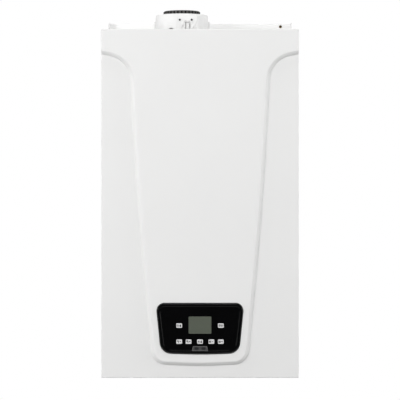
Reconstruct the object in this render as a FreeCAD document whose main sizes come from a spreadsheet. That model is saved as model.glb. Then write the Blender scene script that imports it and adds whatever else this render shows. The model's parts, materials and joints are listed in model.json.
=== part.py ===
import FreeCAD, Part

# Wall-hung condensing gas boiler, built as the pieces that come apart on a bench.
# Millimetres. X runs to the right seen from the front, Y runs back to the wall, Z runs up.
# The origin lies on the wall plane, midway between the two hanging slots.

import math
import os
import re

import Sketcher
from FreeCAD import Placement, Rotation, Vector

# Driving sizes. A height is measured up from the casing's bottom edge, and a reach
# forward from the wall.
SIZES = {
    # Casing: the painted front cover with its raised field
    "casing_width": 400,
    "casing_height": 706.5,
    "casing_depth": 296,
    "cover_sheet": 1.2,
    "cover_wall_gap": 3,
    "cover_edge_fillet": 1.6,
    "cover_top_lip": 22,
    "cover_bottom_lip": 30,
    "emboss_height": 10,
    "emboss_slope": 5.4,
    "emboss_crest_radius": 3.6,
    "emboss_crease_radius": 3,
    "band_height": 49.2,
    "shoulder_drop": 11,
    "shoulder_inset": 59,
    "waist_inset": 71.4,
    "foot_inset": 104.7,
    "field_waist": 369,
    "field_waist_radius": 8000,
    "field_foot": 29.8,
    "field_foot_sag": 5,
    "field_shoulder_radius": 54,
    "field_corner_radius": 29,
    "field_foot_radius": 800,
    "window_clearance": 0.8,
    "window_fillet": 0.7,
    "cover_screw_side": 80,
    "cover_screw_inset": 22,
    "cover_screw_radius": 2,
    "cover_screw_length": 12,
    "screw_head_radius": 4.5,
    "screw_head_height": 1.8,
    "screw_clearance": 0.3,
    # Chassis
    "hang_rise": 17,
    "upstand_height": 35,
    "frame_sheet": 1.5,
    "frame_side_gap": 1.3,
    "frame_foot": 3,
    "frame_flange": 30,
    "hang_slot_side": 70,
    "hang_slot_radius": 5,
    "hang_slot_length": 24,
    "earth_screw_side": 26,
    "earth_screw_rise": 29,
    "earth_screw_radius": 3,
    "earth_screw_height": 2.5,
    "panel_gap": 0.3,
    "panel_lip": 14,
    "tray_rise": 12,
    "tray_setback": 28,
    "tray_lip_rise": 1.5,
    "hinge_ear_gap": 5,
    "hinge_ear_sheet": 3,
    "hinge_ear_height": 40,
    "hinge_setback": 10,
    "hinge_height": 30,
    "hinge_pin_radius": 4,
    "hinge_clearance": 0.08,
    # Flue adapter on the roof
    "flue_x": -38,
    "flue_reach": 150,
    "gasket_sheet": 2,
    "gasket_bore": 46,
    "adapter_flange_radius": 66,
    "adapter_flange": 4,
    "adapter_height": 39.2,
    "adapter_foot_radius": 56,
    "adapter_top_radius": 54.2,
    "adapter_bore": 50.25,
    "adapter_step": 12,
    "adapter_edge_fillet": 0.8,
    "adapter_gusset": 22,
    "adapter_gusset_reach": 2,
    "adapter_gusset_sheet": 3,
    "adapter_slot_x": 21.7,
    "adapter_slot_width": 7.6,
    "adapter_slot_height": 2.2,
    "adapter_slot_rise": 3.2,
    "joint_overlap": 2,
    "flue_screw_circle": 61,
    "flue_screw_radius": 2,
    "flue_screw_end": 4,
    "tower_x": 11,
    "tower_width": 42,
    "tower_height": 30,
    "tower_depth": 6,
    "clip_shift": 1.7,
    "clip_recess_width": 11,
    "clip_recess_height": 17.4,
    "clip_recess_depth": 6,
    "clip_width": 5.8,
    "clip_drop": 3,
    "tower_rib_width": 4,
    "tower_rib_length": 26,
    "tower_rib_depth": 3.5,
    "tower_rib_lean": 27,
    "tower_rib_offset": 4,
    "test_port_shift": 2.4,
    "test_port_pitch": 24.6,
    "test_port_height": 21.3,
    "test_port_radius": 3.4,
    "test_port_length": 1.2,
    "test_cap_radius": 1.4,
    "test_cap_head": 2,
    "test_cap_height": 0.8,
    "test_cap_length": 9,
    "flue_pipe_radius": 33,
    "flue_pipe_bore": 31,
    "flue_pipe_seat": 4,
    "flue_socket_radius": 36,
    "flue_socket_length": 40,
    "flue_socket_rise": 1,
    "seal_radius": 37.2,
    "seal_bore": 30.1,
    "seal_height": 13.5,
    "seal_skirt": 6,
    "seal_rib_radius": 38.3,
    "seal_rib_stop": 1.5,
    "seal_edge_fillet": 1.4,
    "seal_rib_width": 2.6,
    "seal_rib_count": 30,
    # Condensing heat exchanger and burner
    "exchanger_height": 470,
    "door_space": 60,
    "exchanger_back": 92,
    "exchanger_radius": 104,
    "exchanger_wall": 3,
    "exchanger_flange": 8,
    "spigot_wall": 3,
    "spigot_clearance": 0.3,
    "pipe_hole_gap": 1.2,
    "exhaust_spigot_length": 16,
    "condensate_reach": 150,
    "condensate_pipe_radius": 9,
    "condensate_spigot_length": 20,
    "water_spigot_x": 88,
    "water_spigot_reach": 165,
    "water_spigot_radius": 13,
    "water_spigot_length": 20,
    "bracket_sheet": 2,
    "bracket_height": 336,
    "bracket_left": 134,
    "bracket_right": 70,
    "bracket_drop": 36,
    "bracket_front_inset": 23,
    "bracket_back_inset": 14,
    "bracket_front_gap": 3,
    "bracket_rib_half": 40,
    "coil_radius": 97,
    "coil_bore": 64,
    "coil_turns": 8,
    "coil_groove": 3,
    "coil_front_gap": 4,
    "door_radius": 117,
    "door_thickness": 9,
    "door_gasket": 2,
    "door_gasket_width": 5,
    "door_boss_radius": 36,
    "duct_stand": 13,
    "duct_radius": 21,
    "duct_bore": 17,
    "duct_flange_radius": 28,
    "duct_flange": 6,
    "door_nut_circle": 111.5,
    "door_nut_radius": 4.8,
    "door_stud_radius": 2.5,
    "door_nut_height": 5,
    "door_stud_end": 3,
    "door_stud_angle": 30,
    "door_nut_count": 6,
    "burner_radius": 30,
    "burner_wall": 1,
    "burner_rear_gap": 26,
    "burner_flange_radius": 40,
    "burner_flange": 2,
    "insulation_thickness": 12,
    "insulation_gap": 1,
    "electrode_x": 30,
    "electrode_rise": 36,
    "ceramic_radius": 5,
    "ceramic_front": 18,
    "ceramic_back": 14,
    "electrode_radius": 1.2,
    "electrode_length": 60,
    "ceramic_seat": 3,
    "ceramic_seat_radius": 8,
    "spark_box_width": 42,
    "spark_box_depth": 40,
    "spark_box_height": 36,
    "spark_box_rear": 80,
    "lead_radius": 3,
    "lead_stand": 11,
    "lead_bend": 15,
    # Fan, mixer, silencer and gas train
    "fan_gap": 4,
    "fan_radius": 47,
    "fan_height": 48,
    "fan_wall": 3,
    "fan_outlet_offset": 35,
    "fan_inlet_radius": 24,
    "impeller_radius": 39,
    "impeller_tip": 1,
    "impeller_sweep": 25,
    "impeller_height": 28,
    "impeller_disc": 3,
    "impeller_hub": 10,
    "impeller_blades": 12,
    "impeller_blade_sheet": 2,
    "impeller_gap": 4,
    "fan_shaft_radius": 4,
    "fan_shaft_length": 40,
    "shaft_clearance": 0.06,
    "fan_motor_radius": 36,
    "fan_motor_height": 46,
    "fan_plug_reach": 8,
    "mixer_radius": 32,
    "mixer_throat": 15,
    "mixer_height": 46,
    "mixer_boss_radius": 11,
    "mixer_boss_reach": 14,
    "silencer_half": 47,
    "silencer_height": 92,
    "silencer_wall": 2.5,
    "silencer_fillet": 6,
    "silencer_mouth": 40,
    "connection_pitch": 65,
    "connection_reach": 85,
    "gas_valve_left": 18,
    "gas_valve_right": 72,
    "gas_valve_front": 125,
    "gas_valve_back": 50,
    "gas_valve_height": 236,
    "gas_valve_tall": 70,
    "gas_coil_radius": 17,
    "gas_coil_length": 26,
    "gas_coil_x": 4,
    "gas_riser_radius": 9,
    "gas_pipe_radius": 8,
    "gas_pipe_wall": 1,
    "gas_pipe_bend": 20,
    "gas_pipe_reach": 95,
    # Water side
    "thread_large": 13.2,
    "thread_small": 10.5,
    "thread_drop": 14,
    "stub_bore_wall": 3,
    "stub_collar": 4,
    "stub_collar_height": 9,
    "stub_clearance": 0.4,
    "locknut_height": 4,
    "group_foot": 40,
    "group_tall": 70,
    "group_front": 112,
    "group_back": 58,
    "group_outer": 150,
    "flow_group_inner": 48,
    "return_group_inner": 36,
    "group_fillet": 6,
    "socket_radius": 14,
    "socket_height": 40,
    "water_pipe_radius": 9,
    "water_pipe_wall": 1,
    "water_pipe_bend": 20,
    "riser_reach": 95,
    "riser_turn": 218,
    "return_riser_height": 175,
    "pipe_insert": 10,
    "plate_half_width": 98,
    "plate_foot": 66,
    "plate_tall": 70,
    "plate_depth": 42,
    "plate_count": 12,
    "plate_inset": 2,
    "pump_x": 108,
    "pump_height": 156,
    "pump_radius": 42,
    "pump_wall": 4,
    "pump_length": 50,
    "pump_front": 118,
    "pump_neck_radius": 18,
    "pump_motor_radius": 38,
    "control_clearance": 5.5,
    "pump_box": 52,
    "pump_box_depth": 12,
    "rotor_radius": 32,
    "rotor_thickness": 14,
    "rotor_gap": 8,
    "rotor_shaft_radius": 5,
    "rotor_shaft_end": 2,
    "vent_radius": 14,
    "vent_height": 46,
    "vent_cap_radius": 5,
    "vent_cap_height": 8,
    "diverter_x": 98,
    "diverter_height": 75,
    "diverter_neck_radius": 17,
    "diverter_neck": 26,
    "diverter_motor_half": 24,
    "diverter_motor_gap": 22,
    "spindle_radius": 4,
    "spindle_length": 30,
    "safety_height": 62,
    "safety_radius": 10,
    "safety_length": 16,
    "safety_outlet": 20,
    "safety_outlet_radius": 7,
    "safety_outlet_bore": 5,
    "safety_stem_radius": 4,
    "safety_knob_radius": 14,
    "safety_knob_length": 15,
    "filling_radius": 10,
    "filling_body": 20,
    "filling_stem_radius": 5,
    "filling_knob_radius": 12,
    "filling_knob_height": 16,
    "filling_knob_drop": 6,
    "knob_cap": 3,
    "knob_groove": 1,
    "knob_grip_count": 8,
    "knob_grip_radius": 2.2,
    "vessel_side": 35,
    "vessel_tall": 300,
    "vessel_depth": 72,
    "vessel_wall": 1.5,
    "vessel_fillet": 24,
    "vessel_neck_radius": 8,
    "vessel_neck_x": 120,
    "vessel_edge_fillet": 20,
    "trap_radius": 24,
    "trap_foot": 24,
    "trap_tall": 130,
    "trap_wall": 2.5,
    "trap_cap_radius": 27,
    "trap_cap_height": 16,
    "trap_outlet_radius": 10.5,
    "trap_outlet_drop": 10,
    "gauge_side": 50,
    "gauge_setback": 23.5,
    "gauge_radius": 20,
    "gauge_tall": 20,
    "gauge_bezel_radius": 23,
    "gauge_bezel_height": 6,
    "gauge_dial_radius": 18,
    "gauge_lens_sheet": 1.5,
    "gauge_lens_ledge": 1,
    "needle_space": 3.4,
    "needle_length": 14,
    "needle_tail": 5,
    "needle_width": 1.6,
    "needle_sheet": 0.8,
    "needle_rest": 150,
    "needle_pin_radius": 1,
    "needle_pin_length": 3.5,
    "needle_pin_gap": 0.5,
    "grommet_side": 32,
    "grommet_setback": 23.5,
    "grommet_radius": 11,
    "grommet_flange": 14,
    "grommet_bore": 5,
    "grommet_lip": 3,
    # Control unit behind the window
    "control_gap": 2.8,
    "control_half_width": 147,
    "control_foot": 26,
    "control_top": 168,
    "control_depth": 70,
    "control_wall": 2.5,
    "plate_corner": 6,
    "standoff_inset": 6,
    "fascia_proud": 3,
    "fascia_wall": 2.5,
    "fascia_top": 151.6,
    "fascia_top_half": 88.7,
    "fascia_top_radius": 15,
    "fascia_foot": 50.7,
    "fascia_foot_half": 78.5,
    "fascia_foot_sag": 2.6,
    "fascia_foot_radius": 23,
    "fascia_sag_radius": 900,
    "fascia_edge_fillet": 3,
    "fascia_panel_inset": 6.6,
    "fascia_panel_depth": 1,
    "fascia_panel_fillet": 0.8,
    "display_width": 46.1,
    "display_height": 34.8,
    "display_level": 107.6,
    "display_clearance": 0.2,
    "display_sink": 0.3,
    "display_rim": 4,
    "button_width": 11.6,
    "button_height": 8.9,
    "button_radius": 1.9,
    "button_proud": 1,
    "button_clearance": 0.3,
    "button_edge_fillet": 0.5,
    "button_travel": 1.2,
    "button_rim": 1.5,
    "button_rim_sheet": 1.4,
    "button_stem_radius": 2,
    "button_upper_level": 106.7,
    "button_lower_level": 74.2,
    "button_outer_x": 42.1,
    "button_inner_x": 23,
    "port_width": 33,
    "port_slope": 2.2,
    "port_height": 9.4,
    "port_level": 60.2,
    "port_sheet": 1.4,
    "port_proud": 0.3,
    "board_sheet": 1.6,
    "display_board_half": 61,
    "display_board_foot": 60,
    "display_board_top": 134,
    "display_board_gap": 7,
    "board_boss_radius": 3,
    "board_boss_margin": 1.5,
    "main_board_inset": 14,
    "main_board_gap": 6,
    "transformer_size": 34,
    "relay_size": 16,
    "relay_pitch": 24,
    "component_inset": 8,
}

# Places worked out from the sizes
PLACES = {
    "base": "-casing_height - hang_rise",
    "roof": "-hang_rise",
    "half_width": "casing_width / 2",
    "wing_front": "casing_depth - emboss_height",
    "fascia_front": "casing_depth + fascia_proud",
    "plate_front": "wing_front - cover_sheet - control_gap",
    "field_top_half": "half_width - shoulder_inset",
    "field_waist_half": "half_width - waist_inset",
    "field_foot_half": "half_width - foot_inset",
    "cover_screw_x": "half_width - cover_screw_side",
    "cover_screw_reach": "wing_front - cover_screw_inset",
    "hang_slot_x": "half_width - hang_slot_side",
    "earth_screw_x": "half_width - earth_screw_side",
    "frame_half": "half_width - cover_sheet - frame_side_gap",
    "panel_half": "frame_half - frame_sheet - panel_gap",
    "panel_top": "roof - cover_sheet - panel_gap",
    "tray_floor": "base + tray_rise",
    "tray_top": "tray_floor + frame_sheet",
    "tray_reach": "wing_front - tray_setback",
    "lip_floor": "base + tray_lip_rise",
    "hinge_reach": "plate_front - hinge_setback",
    "hinge_ear_x": "control_half_width + hinge_ear_gap",
    "flange_seat": "panel_top + gasket_sheet",
    "collar_foot": "flange_seat + adapter_flange",
    "adapter_top": "flange_seat + adapter_height",
    "flue_y": "-flue_reach",
    "tower_front": "flue_reach + adapter_foot_radius + tower_depth",
    "socket_top": "adapter_top + flue_socket_rise",
    "exchanger_front": "casing_depth - door_space",
    "exchanger_z": "base + exchanger_height",
    "shell_top": "exchanger_z + exchanger_radius",
    "shell_foot": "exchanger_z - exchanger_radius",
    "pipe_seat": "shell_top - flue_pipe_seat",
    "door_back": "exchanger_front + door_gasket",
    "door_front": "door_back + door_thickness",
    "coil_front": "door_back - insulation_thickness - coil_front_gap",
    "burner_back": "exchanger_back + burner_rear_gap",
    "bracket_reach": "exchanger_front - bracket_front_gap",
    "duct_reach": "door_front + duct_stand",
    "duct_end": "flue_x + door_radius + fan_gap + duct_flange",
    "fan_x": "duct_end + duct_flange + fan_radius",
    "fan_y": "-(duct_reach - fan_outlet_offset)",
    "fan_foot": "exchanger_z - fan_height / 2",
    "fan_top": "exchanger_z + fan_height / 2",
    "mixer_top": "fan_top + mixer_height",
    "gas_port_z": "fan_top + mixer_height / 2",
    "connection_y": "-connection_reach",
    "stub_top": "base + group_foot",
    "group_top": "stub_top + group_tall",
    "gas_valve_foot": "base + gas_valve_height",
    "filling_x": "1.5 * connection_pitch",
    "pump_z": "base + pump_height",
    "spigot_foot": "exchanger_z - sqrt(exchanger_radius ^ 2 - water_spigot_x ^ 2) - water_spigot_length",
    "vessel_half_width": "half_width - vessel_side",
    "control_back": "plate_front - fascia_wall - control_depth",
    "pump_motor_length": "control_back - pump_front - pump_box_depth - control_clearance",
    "rotor_shaft_length": "pump_motor_length / 2",
    "diverter_motor_depth": "control_back - group_front - diverter_neck - diverter_motor_gap",
    "gauge_x": "half_width - gauge_side",
    "gauge_reach": "control_back - gauge_setback",
    "grommet_x": "half_width - grommet_side",
    "grommet_reach": "control_back - grommet_setback",
    "panel_back": "fascia_front - fascia_wall - fascia_panel_depth",
    "display_board_front": "panel_back - display_board_gap",
}

doc = FreeCAD.newDocument("condensing_boiler")
sheet = doc.addObject("Spreadsheet::Sheet", "Dims")
places = doc.addObject("App::VarSet", "Places")
reading = doc.addObject("App::VarSet", "Reading")
reading.addProperty("App::PropertyFloat", "value")
pieces = []
numbers = {}


def expr(formula):
    """The formula with each size or place written as a reference to where it is kept."""

    def reference(match):
        word = match[0]
        if word in SIZES:
            return f"Dims.{word}"
        return f"Places.{word}" if word in PLACES else word

    return re.sub(r"[a-z][a-z_0-9]*", reference, str(formula))


def fill_sheet():
    """Writes the sizes into aliased cells and binds the places to them."""
    for row, (alias, size) in enumerate(SIZES.items(), start=1):
        sheet.set(f"A{row}", alias)
        sheet.set(f"B{row}", str(size))
        sheet.setAlias(f"B{row}", alias)
    doc.recompute()
    for name, formula in PLACES.items():
        places.addProperty("App::PropertyFloat", name)
        places.setExpression(name, expr(formula))
        places.recompute()


def num(formula):
    """The formula's present value, for choosing edges and for first guesses."""
    formula = str(formula)
    if formula not in numbers:
        reading.setExpression("value", expr(formula))
        reading.recompute()
        numbers[formula] = reading.value
    return numbers[formula]


def bind(feature, prop, formula):
    feature.setExpression(prop, expr(formula))


def piece(label, feature):
    """Names a finished sub-part; its file takes this name."""
    feature.Label = label
    pieces.append(feature)
    return feature


# Primitives and booleans


def block(x, y, z):
    """A box that runs between two formulas on each axis."""
    feature = doc.addObject("Part::Box", "block")
    for side, axis, (low, high) in zip(("Length", "Width", "Height"), "xyz", (x, y, z)):
        bind(feature, side, f"({high}) - ({low})")
        bind(feature, f"Placement.Base.{axis}", low)
    return feature


AXIS_TURN = {
    "x": Rotation(Vector(0, 1, 0), 90),
    "y": Rotation(Vector(1, 0, 0), -90),
    "z": Rotation(),
}


def stand(feature, axis, centre, span):
    """Sets a round feature along an axis; centre holds the other two coordinates."""
    low, high = span
    across = iter(centre)
    feature.Placement = Placement(Vector(), AXIS_TURN[axis])
    bind(feature, "Height", f"({high}) - ({low})")
    for name in "xyz":
        bind(feature, f"Placement.Base.{name}", low if name == axis else next(across))
    return feature


def rod(axis, centre, span, radius):
    feature = stand(doc.addObject("Part::Cylinder", "rod"), axis, centre, span)
    bind(feature, "Radius", radius)
    return feature


def cone(axis, centre, span, radius_low, radius_high):
    feature = stand(doc.addObject("Part::Cone", "cone"), axis, centre, span)
    bind(feature, "Radius1", radius_low)
    bind(feature, "Radius2", radius_high)
    return feature


def hexagon(axis, centre, span, radius):
    feature = stand(doc.addObject("Part::Prism", "hexagon"), axis, centre, span)
    feature.Polygon = 6
    bind(feature, "Circumradius", radius)
    return feature


def fuse(*features):
    joined = doc.addObject("Part::MultiFuse", "joined")
    joined.Shapes = list(features)
    return joined


def cut(base, *tools):
    result = doc.addObject("Part::Cut", "cut")
    result.Base = base
    result.Tool = tools[0] if len(tools) == 1 else fuse(*tools)
    return result


def ring(axis, centre, span, radius, bore):
    return cut(rod(axis, centre, span, radius), rod(axis, centre, span, bore))


def group(*features):
    """Separate solids that share one name."""
    together = doc.addObject("Part::Compound", "group")
    together.Links = list(features)
    return together


def edge_middles(shape):
    return [edge.valueAt((edge.FirstParameter + edge.LastParameter) / 2) for edge in shape.Edges]


def edge_names(shape, test):
    """Names of the edges whose middle point passes the test."""
    return [f"Edge{i}" for i, middle in enumerate(edge_middles(shape), start=1) if test(middle)]


def is_new(middle, old_edges):
    """Whether an edge's middle point is none of those listed before a cut."""
    return not any(middle.isEqual(point, EDGE_REACH) for point in old_edges)


def rounded(base, radius, test):
    """A Part fillet of one radius on the edges that pass the test."""
    doc.recompute()
    feature = doc.addObject("Part::Fillet", "rounded")
    feature.Base = base
    size = num(radius)
    chosen = edge_names(base.Shape, test)
    feature.Edges = [(int(name[4:]), size, size) for name in chosen]
    return feature


EDGE_REACH = 0.05


def near(value, target):
    return abs(value - target) < EDGE_REACH


# Sketch-based bodies


def new_body(name):
    return doc.addObject("PartDesign::Body", name)


def new_sketch(body, plane, offset):
    """A sketch on one of the body's own planes, moved along that plane's normal."""
    sketch = body.newObject("Sketcher::SketchObject", "outline")
    support = next(f for f in body.Origin.OriginFeatures if f.Role == f"{plane}_Plane")
    sketch.AttachmentSupport = [(support, "")]
    sketch.MapMode = "FlatFace"
    bind(sketch, "AttachmentOffset.Base.z", offset)
    return sketch


def constrain(sketch, formula, *parts):
    """Adds a dimension whose value follows a formula."""
    index = sketch.addConstraint(Sketcher.Constraint(*parts, num(formula)))
    bind(sketch, f"Constraints[{index}]", formula)


def fix_point(sketch, geometry, end, corner):
    constrain(sketch, corner[0], "DistanceX", -1, 1, geometry, end)
    constrain(sketch, corner[1], "DistanceY", -1, 1, geometry, end)


def add_loop(sketch, corners):
    """A closed outline; a corner is (u, v) or, where it is rounded, (u, v, radius)."""
    count = len(corners)
    points = [Vector(num(corner[0]), num(corner[1]), 0) for corner in corners]
    radii = [num(corner[2]) if len(corner) > 2 else 0 for corner in corners]
    arrive, leave, centres = [], [], []
    for index, point in enumerate(points):
        back = (points[index - 1] - point).normalize()
        ahead = (points[(index + 1) % count] - point).normalize()
        half = back.getAngle(ahead) / 2
        reach = radii[index] / math.tan(half)
        arrive.append(point + back * reach)
        leave.append(point + ahead * reach)
        centres.append(point + (back + ahead).normalize() * (radii[index] / math.sin(half)))
    lines = [
        sketch.addGeometry(Part.LineSegment(leave[i], arrive[(i + 1) % count])) for i in range(count)
    ]
    for index, corner in enumerate(corners):
        before, after = lines[index - 1], lines[index]
        if not radii[index]:
            sketch.addConstraint(Sketcher.Constraint("Coincident", before, 2, after, 1))
            fix_point(sketch, after, 1, corner)
            continue
        turn = (points[index] - points[index - 1]).cross(points[(index + 1) % count] - points[index])
        starts, ends = (arrive[index], leave[index]) if turn.z > 0 else (leave[index], arrive[index])
        angles = [math.atan2(p.y - centres[index].y, p.x - centres[index].x) for p in (starts, ends)]
        if angles[1] < angles[0]:
            angles[1] += 2 * math.pi
        circle = Part.Circle(centres[index], Vector(0, 0, 1), radii[index])
        arc = sketch.addGeometry(Part.ArcOfCircle(circle, *angles))
        first, last = (1, 2) if turn.z > 0 else (2, 1)
        vertex = sketch.addGeometry(Part.Point(points[index]), True)
        fix_point(sketch, vertex, 1, corner)
        for line, end, arc_end in ((before, 2, first), (after, 1, last)):
            sketch.addConstraint(Sketcher.Constraint("PointOnObject", vertex, 1, line))
            sketch.addConstraint(Sketcher.Constraint("Tangent", line, end, arc, arc_end))
        constrain(sketch, corner[2], "Radius", arc)


def add_circle(sketch, centre, radius):
    middle = Vector(num(centre[0]), num(centre[1]), 0)
    circle = sketch.addGeometry(Part.Circle(middle, Vector(0, 0, 1), num(radius)))
    fix_point(sketch, circle, 3, centre)
    constrain(sketch, radius, "Radius", circle)


def outline(body, plane, offset, *loops):
    sketch = new_sketch(body, plane, offset)
    for loop in loops:
        add_loop(sketch, loop)
    return sketch


def circles(body, plane, offset, *rounds):
    sketch = new_sketch(body, plane, offset)
    for centre, radius in rounds:
        add_circle(sketch, centre, radius)
    return sketch


def swept(body, kind, sketch, length, reverse=False):
    """A Pad or Pocket of a sketch."""
    feature = body.newObject(f"PartDesign::{kind}", kind.lower())
    feature.Profile = sketch
    bind(feature, "Length", length)
    feature.Reversed = reverse
    doc.recompute()
    return feature


def pad(body, sketch, length, reverse=False):
    return swept(body, "Pad", sketch, length, reverse)


def pocket(body, sketch, length, reverse=False):
    return swept(body, "Pocket", sketch, length, reverse)


def soften(body, radius, test):
    """A PartDesign fillet on the body's edges that pass the test."""
    tip = body.Tip
    feature = body.newObject("PartDesign::Fillet", "fillet")
    feature.Base = (tip, edge_names(tip.Shape, test))
    bind(feature, "Radius", radius)
    doc.recompute()
    return feature


def bevel(body, size, test):
    """A PartDesign chamfer, as wide as it is deep, on the body's edges that pass the test."""
    tip = body.Tip
    feature = body.newObject("PartDesign::Chamfer", "chamfer")
    feature.Base = (tip, edge_names(tip.Shape, test))
    bind(feature, "Size", size)
    doc.recompute()
    return feature


def rectangle(u_low, u_high, v_low, v_high, radius=None):
    corners = [(u_low, v_low), (u_high, v_low), (u_high, v_high), (u_low, v_high)]
    return [corner + (radius,) for corner in corners] if radius else corners


def bent_tube(points, radius, bore, bend):
    """A tube along straight runs joined by tangent arcs of one bend radius."""
    stops = [Vector(*(num(value) for value in point)) for point in points]
    turn = num(bend)
    edges, start = [], stops[0]
    for before, corner, after in zip(stops, stops[1:], stops[2:]):
        back, ahead = (before - corner).normalize(), (after - corner).normalize()
        half = back.getAngle(ahead) / 2
        reach = turn / math.tan(half)
        inner = corner + (back + ahead).normalize() * (turn / math.sin(half) - turn)
        edges.append(Part.LineSegment(start, corner + back * reach).toShape())
        edges.append(Part.Arc(corner + back * reach, inner, corner + ahead * reach).toShape())
        start = corner + ahead * reach
    edges.append(Part.LineSegment(start, stops[-1]).toShape())
    path = Part.Wire(edges)
    direction = stops[1] - stops[0]

    def sweep(size):
        profile = Part.Wire(Part.makeCircle(size, stops[0], direction))
        return path.makePipeShell([profile], True, False)

    solid = sweep(num(radius))
    feature = doc.addObject("Part::Feature", "tube")
    feature.Shape = solid.cut(sweep(num(bore))) if bore else solid
    return feature


# Casing and chassis


def fascia_outline(grow):
    """The control fascia's outline, grown outwards by a formula."""
    top, foot = f"base + fascia_top + {grow}", f"base + fascia_foot - ({grow})"
    top_half, foot_half = f"fascia_top_half + {grow}", f"fascia_foot_half + {grow}"
    top_radius, foot_radius = f"fascia_top_radius + {grow}", f"fascia_foot_radius + {grow}"
    return [
        (f"-({foot_half})", foot, foot_radius),
        ("0", f"{foot} - fascia_foot_sag", "fascia_sag_radius"),
        (foot_half, foot, foot_radius),
        (top_half, top, top_radius),
        (f"-({top_half})", top, top_radius),
    ]


def make_front_cover():
    body = new_body("front_cover")
    whole = rectangle("-half_width", "half_width", "base", "roof")
    pad(body, outline(body, "XZ", "cover_wall_gap", whole), "wing_front - cover_wall_gap")
    edge, foot = "roof - band_height", "base + field_foot"
    shoulder, waist = f"{edge} - shoulder_drop", "base + field_waist"
    right_side = [
        ("field_foot_half", foot, "field_corner_radius"),
        ("field_waist_half", waist, "field_waist_radius"),
        ("field_top_half", shoulder, "field_shoulder_radius"),
        ("half_width", edge),
        ("half_width", "roof"),
    ]
    left_side = [(f"-{x}", *rest) for x, *rest in reversed(right_side)]
    field = [("0", f"{foot} - field_foot_sag", "field_foot_radius"), *right_side, *left_side]
    pad(body, outline(body, "XZ", "wing_front", field), "emboss_height")
    side, top, bottom = num("half_width"), num("roof"), num("base")
    front, wing = -num("casing_depth"), -num("wing_front")
    slope_foot = front + num("emboss_slope")

    def inside(m):
        return not near(abs(m.x), side) and not near(m.z, bottom) and not near(m.z, top)

    def at(level):
        return lambda m: near(m.y, level) and inside(m)

    def on_rim(m):
        if near(abs(m.x), side):
            return m.y < wing + EDGE_REACH and bottom < m.z < top
        return (near(m.z, top) and near(m.y, front)) or (near(m.z, bottom) and near(m.y, wing))

    bevel(body, "emboss_slope", at(front))
    soften(body, "emboss_crest_radius", at(front))
    soften(body, "emboss_crest_radius", at(slope_foot))
    soften(body, "emboss_crease_radius", at(wing))
    soften(body, "cover_edge_fillet", on_rim)
    tip = body.Tip
    back = -num("cover_wall_gap")
    open_face = [f"Face{i}" for i, f in enumerate(tip.Shape.Faces, 1) if near(f.BoundBox.YMin, back)]
    shell = body.newObject("PartDesign::Thickness", "shell")
    shell.Base = (tip, open_face)
    shell.Reversed = True
    bind(shell, "Value", "cover_sheet")
    doc.recompute()
    inner = "half_width - cover_sheet"
    above = rectangle(f"-({inner})", inner, "cover_top_lip - wing_front", "0")
    pocket(body, outline(body, "XY", "roof", above), "2 * cover_sheet")
    below = rectangle(f"-({inner})", inner, "cover_bottom_lip - wing_front", "0")
    pocket(body, outline(body, "XY", "base", below), "2 * cover_sheet", reverse=True)
    old_edges = edge_middles(body.Tip.Shape)
    pocket(body, outline(body, "XZ", "casing_depth", fascia_outline("window_clearance")), "3 * cover_sheet")
    soften(body, "window_fillet", lambda m: near(m.y, front) and is_new(m, old_edges))
    holes = [((f"{sign} * cover_screw_x", "-cover_screw_reach"), "cover_screw_radius + screw_clearance")
             for sign in (-1, 1)]
    pocket(body, circles(body, "XY", "base", *holes), "2 * cover_sheet", reverse=True)
    piece("front_cover", body)


def screw(centre, seat, radius, length, head_up):
    """A pan-head screw along Z whose head rests on a seat."""
    if head_up:
        head = rod("z", centre, (seat, f"{seat} + screw_head_height"), "screw_head_radius")
        shank = rod("z", centre, (f"{seat} - ({length})", seat), radius)
    else:
        head = rod("z", centre, (f"{seat} - screw_head_height", seat), "screw_head_radius")
        shank = rod("z", centre, (seat, f"{seat} + {length}"), radius)
    return fuse(head, shank)


def make_cover_screws():
    screws = [
        screw((f"{sign} * cover_screw_x", "-cover_screw_reach"), "base", "cover_screw_radius",
              "cover_screw_length", False)
        for sign in (-1, 1)
    ]
    piece("cover_screws", group(*screws))


def make_rear_frame():
    body = new_body("rear_frame")
    foot, top = "base + frame_foot", "roof + upstand_height"
    pad(body, outline(body, "XZ", "0", rectangle("-frame_half", "frame_half", foot, top)), "frame_sheet")
    inner = "frame_half - frame_sheet"
    flanges = [
        rectangle("-frame_half", f"-({inner})", foot, top),
        rectangle(inner, "frame_half", foot, top),
    ]
    pad(body, outline(body, "XZ", "frame_sheet", *flanges), "frame_flange - frame_sheet")
    straight = "hang_slot_length / 2 - hang_slot_radius"
    for sign in (-1, 1):
        middle = f"{sign} * hang_slot_x"
        slot = rectangle(f"{middle} - ({straight})", f"{middle} + {straight}",
                         "-hang_slot_radius", "hang_slot_radius")
        pocket(body, outline(body, "XZ", "frame_sheet", slot), "frame_sheet")
        ends = [((f"{middle} + {end} * ({straight})", "0"), "hang_slot_radius") for end in (-1, 1)]
        for end in ends:
            pocket(body, circles(body, "XZ", "frame_sheet", end), "frame_sheet")
    piece("rear_frame", body)


def make_earth_screw():
    centre = ("earth_screw_x", "roof + earth_screw_rise")
    seat = "-frame_sheet"
    head = rod("y", centre, (f"{seat} - earth_screw_height", seat), "earth_screw_radius")
    crown = num(f"{seat} - earth_screw_height")
    piece("earth_screw", rounded(head, "earth_screw_height / 3", lambda m: near(m.y, crown)))


def flue_screw_centres():
    return [
        (f"flue_x + flue_screw_circle * cos({angle})", f"flue_y + flue_screw_circle * sin({angle})")
        for angle in (45, 135, 225, 315)
    ]


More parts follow.
